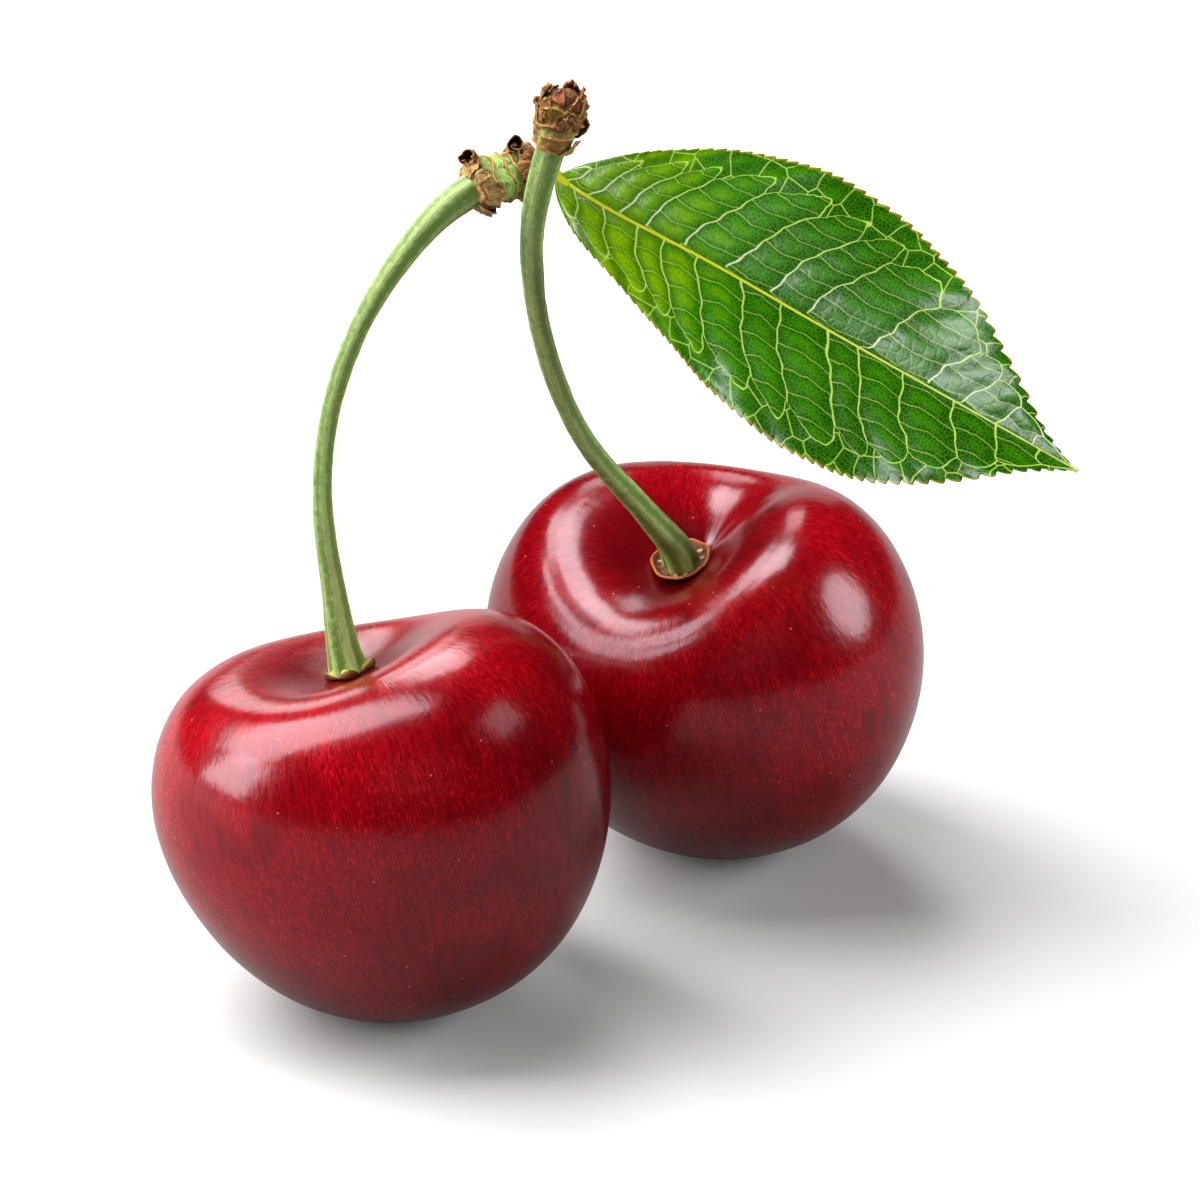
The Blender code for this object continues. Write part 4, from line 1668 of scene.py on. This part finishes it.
    def petiole(self, path: np.ndarray, like: dict[str, np.ndarray]) -> Patch:
        """The short stalk that joins the blade to the knob.

        Args:
            path: The midrib's line.
            like: The blade's values, which this patch also has to carry.

        Returns:
            The patch.
        """
        line = smooth_path([self.root, path[0], path[8], path[26]], self.PETIOLE_ROWS)
        side, up = round_frames(line)
        share = np.linspace(0, 1, self.PETIOLE_ROWS)[:, None]
        turn = once_round(self.PETIOLE_SIDES)
        radius = self.PETIOLE_RADIUS * (1.25 - 0.55 * share)
        ring = spokes(side[:, None], up[:, None], turn)
        points = line[:, None] + ring * (radius * np.ones_like(turn))[..., None]
        shape = points.shape[:2]
        values = {key: np.zeros(shape + array.shape[2:]) for key, array in like.items()}
        values["blade"][..., 0] = share * 2
        values["vein_row"] += 0.5
        values["vein_gap"] += 3.0
        return Patch(points, values)


# Studio --------------------------------------------------------------------------------------


@dataclass(frozen=True)
class Flag:
    """A black card whose straight edge cuts a softbox's light off, seen from above."""

    edge: tuple[float, float]  # a point on the edge, in metres from the middle of the fruits
    towards: tuple[float, float]  # the way to the dark side
    soft: float = 0.05  # how far the light takes to fade out

    def lit(self, graph: Graph, middle: Vector) -> Value:
        """How much light is left at a place on the softbox.

        Args:
            graph: The light's tree.
            middle: The middle of the fruits, in metres.

        Returns:
            1 on the bright side, 0 on the dark side.
        """
        way = Vector((*self.towards, 0.0)).normalized()
        start = way.dot(middle + Vector((*self.edge, 0.0)))
        place = graph.made("NewGeometry", "Position", {})
        along = graph.made("VectorMath", "Value", {0: place, 1: way}, operation="DOT_PRODUCT")
        return graph.span(along, start - self.soft / 2, start + self.soft / 2, 1.0, 0.0)


@dataclass
class Softbox:
    """An area light: where it hangs from the middle of the fruits, its size and its brightness."""

    name: str
    place: Point  # metres to the right, to the back and up
    width: float
    height: float
    radiance: float
    down: bool = False  # True to face straight down, False to face the fruits
    turn: float = 0.0  # degrees about the line of its light
    shines: bool = True  # False for a fill that shows in no reflection
    fills: bool = True  # False for a card that shows in reflections only
    oval: bool = False
    only: tuple[str, ...] = ()  # the pieces that it lights, if it doesn't light all
    spares: tuple[str, ...] = ()  # the pieces that it doesn't reach
    flags: tuple[Flag, ...] = ()

    def build(self, middle: Vector) -> None:
        """Makes the light and turns it to its aim.

        Args:
            middle: The middle of the fruits, in metres.
        """
        light = bpy.data.lights.new(self.name, "AREA")
        light.shape = "ELLIPSE" if self.oval else "RECTANGLE"
        light.size = self.width
        light.size_y = self.height
        area = self.width * self.height * (math.pi / 4 if self.oval else 1.0)
        light.energy = self.radiance * math.pi * area
        lamp = bpy.data.objects.new(self.name, light)
        lamp.visible_glossy = self.shines
        lamp.visible_diffuse = self.fills
        lamp.location = middle + Vector(self.place)
        facing = Vector((0, 0, -1)) if self.down else -Vector(self.place)
        turned = facing.to_track_quat("-Z", "Y") @ Quaternion((0, 0, 1), math.radians(self.turn))
        lamp.rotation_euler = turned.to_euler()
        bpy.context.scene.collection.objects.link(lamp)
        if self.flags:
            self.hang_flags(light, middle)
        if self.only:
            self.reach_only(lamp, self.only, "INCLUDE")
        elif self.spares:
            self.reach_only(lamp, self.spares, "EXCLUDE")

    def hang_flags(self, light: bpy.types.Light, middle: Vector) -> None:
        """Cuts the light off past its flags.

        Args:
            light: The light.
            middle: The middle of the fruits, in metres.
        """
        graph = Graph(light)
        left = functools.reduce(Value.__mul__, (flag.lit(graph, middle) for flag in self.flags))
        graph.feed(graph.tree.nodes["Emission"].inputs["Strength"], left)

    def reach_only(self, lamp: bpy.types.Object, names: Sequence[str], state: str) -> None:
        """Links the light to some pieces, or keeps it off them.

        Args:
            lamp: The light.
            names: The pieces.
            state: INCLUDE or EXCLUDE.
        """
        reached = bpy.data.collections.new(self.name + "_reach")
        for name in names:
            reached.objects.link(bpy.data.objects[name])
        lamp.light_linking.receiver_collection = reached
        for link in reached.collection_objects:
            link.light_linking.link_state = state


@dataclass
class Studio:
    """Floor, lights and camera."""

    layout: Layout
    look_at: Point = (13.29, 5.83, 11.95)  # layout millimetres
    middle: Point = (10.0, 8.0, 2.0)
    camera_distance: float = 380.0
    camera_elevation: float = 26.0  # degrees
    focal_length: float = 186.96
    floor_size: float = 6.0
    room_light: float = 0.02
    backdrop: float = 0.85
    boxes: tuple[Softbox, ...] = (
        Softbox(
            "softbox_over", (-0.45, 0.175, 0.45), 0.99, 0.60, 10.0, down=True, spares=BACK_FRUIT + LEAF,
            flags=(
                Flag((0.0, 0.02), (0.72, 0.69)),
                Flag((-0.20, -0.115), (0.12, -1.0)),
                Flag((-0.60, 0.42), (-0.2, 1.0)),
            ),
        ),
        Softbox("softbox_left", (-0.60, -0.045, 0.175), 0.31, 0.25, 10.5, spares=BACK_FRUIT + LEAF),
        Softbox(
            "softbox_back", (-0.10, 0.55, 0.47), 0.19, 0.62, 9.5, down=True, turn=22, spares=BACK_FRUIT + LEAF
        ),
        Softbox("softbox_crown", (-0.045, 0.08, 0.46), 0.21, 0.18, 15.0, down=True, only=BACK_FRUIT),
        Softbox(
            "softbox_crown_back", (-0.080, 0.225, 0.48), 0.16, 0.10, 13.0,
            down=True, turn=-12, only=BACK_FRUIT,
        ),
        Softbox(
            "softbox_crown_left", (-0.225, 0.215, 0.455), 0.15, 0.30, 11.0, down=True, turn=8, only=BACK_FRUIT
        ),
        Softbox("softbox_rear", (-0.016, 0.46, 0.386), 0.16, 0.24, 4.0, only=BACK_FRUIT),
        Softbox("softbox_side", (-0.365, 0.03, 0.45), 0.12, 0.19, 12.0, down=True, only=BACK_FRUIT),
        Softbox(
            "softbox_side_low", (-0.50, -0.15, 0.46), 0.26, 0.20, 10.0, down=True, turn=6, only=BACK_FRUIT
        ),
        Softbox("softbox_back_low", (-0.20, 0.62, 0.24), 0.17, 0.19, 3.5, spares=BACK_FRUIT + LEAF),
        Softbox("card_back", (0.04, 0.60, 0.06), 0.26, 0.10, 0.5, spares=LEAF),
        Softbox(
            "softbox_right", (0.50, -0.035, 0.222), 0.29, 0.30, 9.5, oval=True, spares=FRONT_FRUIT + LEAF
        ),
        Softbox("window_right", (0.45, -0.07, 0.41), 0.20, 0.19, 2.6, only=FRONT_FRUIT),
        Softbox("leaf_key", (-0.30, -0.20, 0.62), 0.50, 0.50, 6.0, only=LEAF, shines=False),
        Softbox("leaf_gloss", (-0.02, -0.48, 0.385), 0.20, 0.15, 90.0, only=LEAF, fills=False),
        Softbox("fill_front", (0.10, -0.60, 0.35), 0.50, 0.40, 2.0, shines=False),
    )

    SENSOR_WIDTH = 36.0

    def build(self, finish: FloorFinish) -> None:
        """Makes everything that isn't part of the cherries.

        Args:
            finish: The floor's finish.
        """
        scene = bpy.context.scene
        scene.view_settings.view_transform = "Standard"
        self.build_camera(scene)
        self.build_world(scene)
        middle = Vector(self.layout.metres(np.array(self.middle)))
        for box in self.boxes:
            box.build(middle)
        self.build_floor(finish)

    def build_camera(self, scene: bpy.types.Scene) -> None:
        """Makes the camera.

        Args:
            scene: The scene that gets it.
        """
        lens = bpy.data.cameras.new("studio_camera")
        lens.sensor_width = self.SENSOR_WIDTH
        lens.lens = self.focal_length
        lens.clip_start = 0.01
        camera = bpy.data.objects.new("studio_camera", lens)
        tilt = math.radians(self.camera_elevation)
        away = Vector((0, -math.cos(tilt), math.sin(tilt)))
        aim = Vector(self.layout.metres(np.array(self.look_at)))
        camera.location = aim + away * self.camera_distance * MM
        camera.rotation_euler = (-away).to_track_quat("-Z", "Y").to_euler()
        scene.collection.objects.link(camera)
        scene.camera = camera

    def build_world(self, scene: bpy.types.Scene) -> None:
        """Fills the room with dim light, behind a pale backdrop.

        Args:
            scene: The scene that gets it.
        """
        world = bpy.data.worlds.new("studio_room")
        graph = Graph(world)
        background = graph.tree.nodes["Background"].inputs
        seen = graph.made("LightPath", "Is Camera Ray", {})
        graph.feed(background["Strength"], graph.span(seen, 0.0, 1.0, self.room_light, self.backdrop))
        graph.feed(background["Color"], (1.0, 1.0, 1.0))
        scene.world = world

    def build_floor(self, finish: FloorFinish) -> None:
        """Makes the floor that the fruits stand on.

        Args:
            finish: Its look.
        """
        half = self.floor_size / 2
        mesh = bpy.data.meshes.new("studio_floor")
        corners = [(-half, -half, 0), (half, -half, 0), (half, half, 0), (-half, half, 0)]
        mesh.from_pydata(corners, [], [(0, 1, 2, 3)])
        mesh.materials.append(finish.material())
        floor = bpy.data.objects.new("studio_floor", mesh)
        bpy.context.scene.collection.objects.link(floor)


# The pair of cherries ------------------------------------------------------------------------


def left_cherry() -> Cherry:
    """The fruit on the left, which stands in front."""
    foot, axis = (0.6, 0.0, -0.25), (-0.265, 0.182, 1.0)
    return Cherry("fruit_left", foot, axis, 72, 14.25, 0.91, 4.0, 0.55, 0.3, 0.3, 44, Grain(11))


def right_cherry() -> Cherry:
    """The fruit on the right, which stands behind."""
    foot, axis = (20.5, 20.6, -0.35), (-0.235, -0.275, 1.0)
    return Cherry("fruit_right", foot, axis, 61, 14.36, 0.875, 4.8, 0.44, 0.9, 2.8, 34, Grain(12))


def build_collars(layout: Layout, left: Cherry, right: Cherry) -> None:
    """Makes the dry collars in the two stem cavities.

    Args:
        layout: Places them in the frame.
        left: The fruit of the lobed collar.
        right: The fruit of the dished collar.
    """
    husk = (
        (0.30, (0.24, 0.30, 0.03)),
        (0.62, (0.44, 0.38, 0.04)),
        (0.86, (0.36, 0.20, 0.05)),
        (1.0, (0.09, 0.030, 0.010)),
    )
    dish = (
        (0.35, (0.16, 0.15, 0.03)),
        (0.60, (0.13, 0.045, 0.012)),
        (0.82, (0.075, 0.012, 0.008)),
        (0.97, (0.40, 0.12, 0.025)),
    )
    olive_husk = CollarFinish(husk, bump_colour=(0.56, 0.46, 0.05))
    brown_dish = CollarFinish(dish, bump_colour=(0.50, 0.29, 0.12))
    Collar("collar_left", CollarForm.LOBED, 1.62, left, Grain(21), 7).build(layout, olive_husk)
    Collar("collar_right", CollarForm.DISH, 1.97, right, Grain(22), 13).build(layout, brown_dish)


def build_knobs(layout: Layout) -> tuple[Knob, Knob]:
    """Makes the woody ends of the stalks.

    Args:
        layout: Places them in the frame.

    Returns:
        The left knob and the right knob.
    """
    left = Knob(
        "knob_left",
        start=(5.42, 6.98, 38.42),
        end=(9.55, 9.2, 38.98),
        girth=(
            (0.0, 1.05), (0.06, 1.45), (0.25, 1.55), (0.33, 1.4), (0.5, 1.5),
            (0.6, 1.42), (0.7, 1.6), (0.9, 1.5), (1.0, 1.0),
        ),
        rings=(
            (0.07, 0.035, 0.16), (0.31, 0.024, 0.24), (0.53, 0.022, 0.18),
            (0.64, 0.02, 0.16), (0.73, 0.02, 0.18), (0.84, 0.03, 0.12),
        ),
        grain=Grain(31),
    )
    right = Knob(
        "knob_right",
        start=(10.37, 4.86, 41.75),
        end=(11.4, 4.7, 45.7),
        girth=(
            (0.0, 0.9), (0.07, 1.15), (0.2, 1.25), (0.42, 1.42), (0.62, 1.36), (0.82, 1.15), (1.0, 0.7),
        ),
        rings=((0.08, 0.04, 0.18), (0.36, 0.03, 0.10), (0.52, 0.025, 0.16), (0.74, 0.03, 0.14)),
        grain=Grain(32),
    )
    green, olive, tan = (0.25, 0.40, 0.10), (0.26, 0.25, 0.04), (0.42, 0.26, 0.08)
    brown, dark = (0.14, 0.045, 0.010), (0.05, 0.016, 0.005)
    left_bands = ((0.06, tan), (0.16, brown), (0.34, green), (0.56, green), (0.70, dark), (0.95, brown))
    right_bands = ((0.04, tan), (0.16, olive), (0.36, green), (0.50, brown), (0.66, olive), (0.88, dark))
    left.build(layout, BarkFinish(left_bands, stain=0.35))
    right.build(layout, BarkFinish(right_bands, stain=0.75))
    return left, right


def build_stalks(layout: Layout, fruits: tuple[Cherry, Cherry], knobs: tuple[Knob, Knob]) -> None:
    """Makes the two stalks.

    Args:
        layout: Places them in the frame.
        fruits: The left and the right fruit.
        knobs: The left and the right knob.
    """
    green = StalkFinish()
    Stalk(
        "stalk_left",
        (
            (-2.7, 2.4, 13.6), (-3.35, 3.2, 19.2), (-3.0, 4.0, 24.5),
            (-1.0, 4.7, 30.6), (1.45, 5.5, 34.6), (5.1, 6.8, 38.1),
        ),
        1.15,
        0.56,
        0.96,
        stain_with_side_shade=((0.72, 0.10, 0.30), (0.0, 0.03, 0.35)),
        cherry=fruits[0],
        clearance=0.89,
        grain=Grain(41),
    ).build(layout, knobs[0].mouth(), green)
    Stalk(
        "stalk_right",
        (
            (17.0, 16.8, 11.6), (15.1, 15.2, 14.7), (12.8, 13.1, 18.6), (10.6, 11.2, 24.2),
            (9.4, 8.9, 30.5), (9.35, 6.3, 36.9), (10.25, 5.0, 41.4),
        ),
        1.15,
        0.62,
        0.88,
        stain_with_side_shade=((0.05, 0.20, 0.48), (0.55, 0.16, 0.24)),
        cherry=fruits[1],
        clearance=0.83,
        grain=Grain(42),
    ).build(layout, knobs[1].mouth(), green)


def build_scales(layout: Layout, left: Knob, right: Knob) -> None:
    """Makes the dry bud scales and the bark flakes of both knobs.

    Args:
        layout: Places them in the frame.
        left: The left knob.
        right: The right knob.
    """
    dry = ScaleFinish().material("dry_bud_scale")
    straw = ScaleFinish((0.050, 0.018, 0.005), (0.330, 0.170, 0.045), (0.620, 0.420, 0.170))
    straw = straw.material("straw_bud_scale")
    red = ScaleFinish((0.040, 0.008, 0.003), (0.300, 0.050, 0.012), (0.600, 0.240, 0.085))
    red = red.material("red_bud_scale")
    ragged = Grain(51)
    scales = (
        BudScale("left_front", left, 0.10, 75, 1.1, 1.4, 0.25),
        BudScale("left_under", left, 0.10, 165, 1.1, 1.5, 0.15),
        BudScale("left_end", left, 0.62, 70, 1.4, 1.9, 0.1),
        BudScale("right_base", right, 0.06, 145, 1.1, 1.5, 0.12),
        BudScale("right_outer", right, 0.30, 190, 1.2, 1.3, 0.15),
        BudScale("right_inner", right, 0.42, 10, 1.2, 1.3, 0.12),
        BudScale("right_front", right, 0.48, 100, 1.3, 1.5, 0.2),
        BudScale("right_tip", right, 0.78, 160, 1.3, 1.1, 0.1),
        RolledScale("left_top", (-0.50, -0.80, 0.30), 0.50, 0.90),
        RolledScale("left_bud", (0.10, -0.85, 0.50), 0.50, 0.95),
    )
    paler = {"left_front": straw, "right_tip": red, "right_base": straw}
    for scale in scales:
        scale.build(layout, ragged, paler.get(scale.name, dry))
    Flakes("flakes_left_foot", left, 6, (0.0, 0.10), 0.75, 71).build(layout, ragged, straw)
    Flakes("flakes_left_end", left, 12, (0.60, 0.80), 1.05, 72).build(layout, ragged, dry)
    Flakes("flakes_right_ring", right, 9, (0.44, 0.60), 0.75, 73).build(layout, ragged, dry)
    Flakes("flakes_right_top", right, 8, (0.64, 0.80), 0.95, 74).build(layout, ragged, dry)
    Flakes("flakes_right_crown", right, 5, (0.78, 0.86), 0.80, 75).build(layout, ragged, red)


def build_leaf(layout: Layout) -> None:
    """Makes the leaf.

    Args:
        layout: Places it in the frame.
    """
    upper = BladeHalf(
        8.6, 0.46, 0.74, 0.65,
        vein_starts=(0.02, 0.064, 0.118, 0.163, 0.24, 0.324, 0.401, 0.475, 0.594, 0.711, 0.777),
        vein_lean=0.34,
        vein_bend=0.44,
        teeth=50,
    )
    lower = BladeHalf(
        7.95, 0.56, 0.52, 0.75,
        vein_starts=(0.04, 0.092, 0.153, 0.202, 0.27, 0.356, 0.429, 0.527, 0.583, 0.664, 0.765, 0.845),
        vein_lean=0.40,
        vein_bend=0.40,
        teeth=56,
    )
    Leaf(
        route=(
            (10.0, 9.4, 38.85), (10.8, 9.15, 38.3), (18.5, 8.2, 34.0),
            (26.3, 7.2, 29.65), (34.1, 5.4, 25.65), (41.9, 3.0, 21.9),
        ),
        root=(9.2, 9.15, 38.95),
        across=(0.49, 0.58, 0.68),
        upper=upper,
        lower=lower,
        grain=Grain(61),
    ).build(layout, LeafFinish())


def main() -> None:
    """Builds every piece around the frame and reports each."""
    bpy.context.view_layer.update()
    left, right = left_cherry(), right_cherry()
    ground = left.lowest() + Cherry.FOOT_SINK
    right.stand(ground)
    layout = Layout(ground, left.outer_points())

    skin = SkinFinish().material()
    left.build(layout, ground, skin)
    right.build(layout, ground, skin)
    build_collars(layout, left, right)
    knobs = build_knobs(layout)
    build_stalks(layout, (left, right), knobs)
    build_scales(layout, *knobs)
    build_leaf(layout)

    Studio(layout).build(FloorFinish())


if __name__ == "__main__":
    logging.basicConfig(level=logging.INFO, format="%(name)s: %(message)s")
    main()
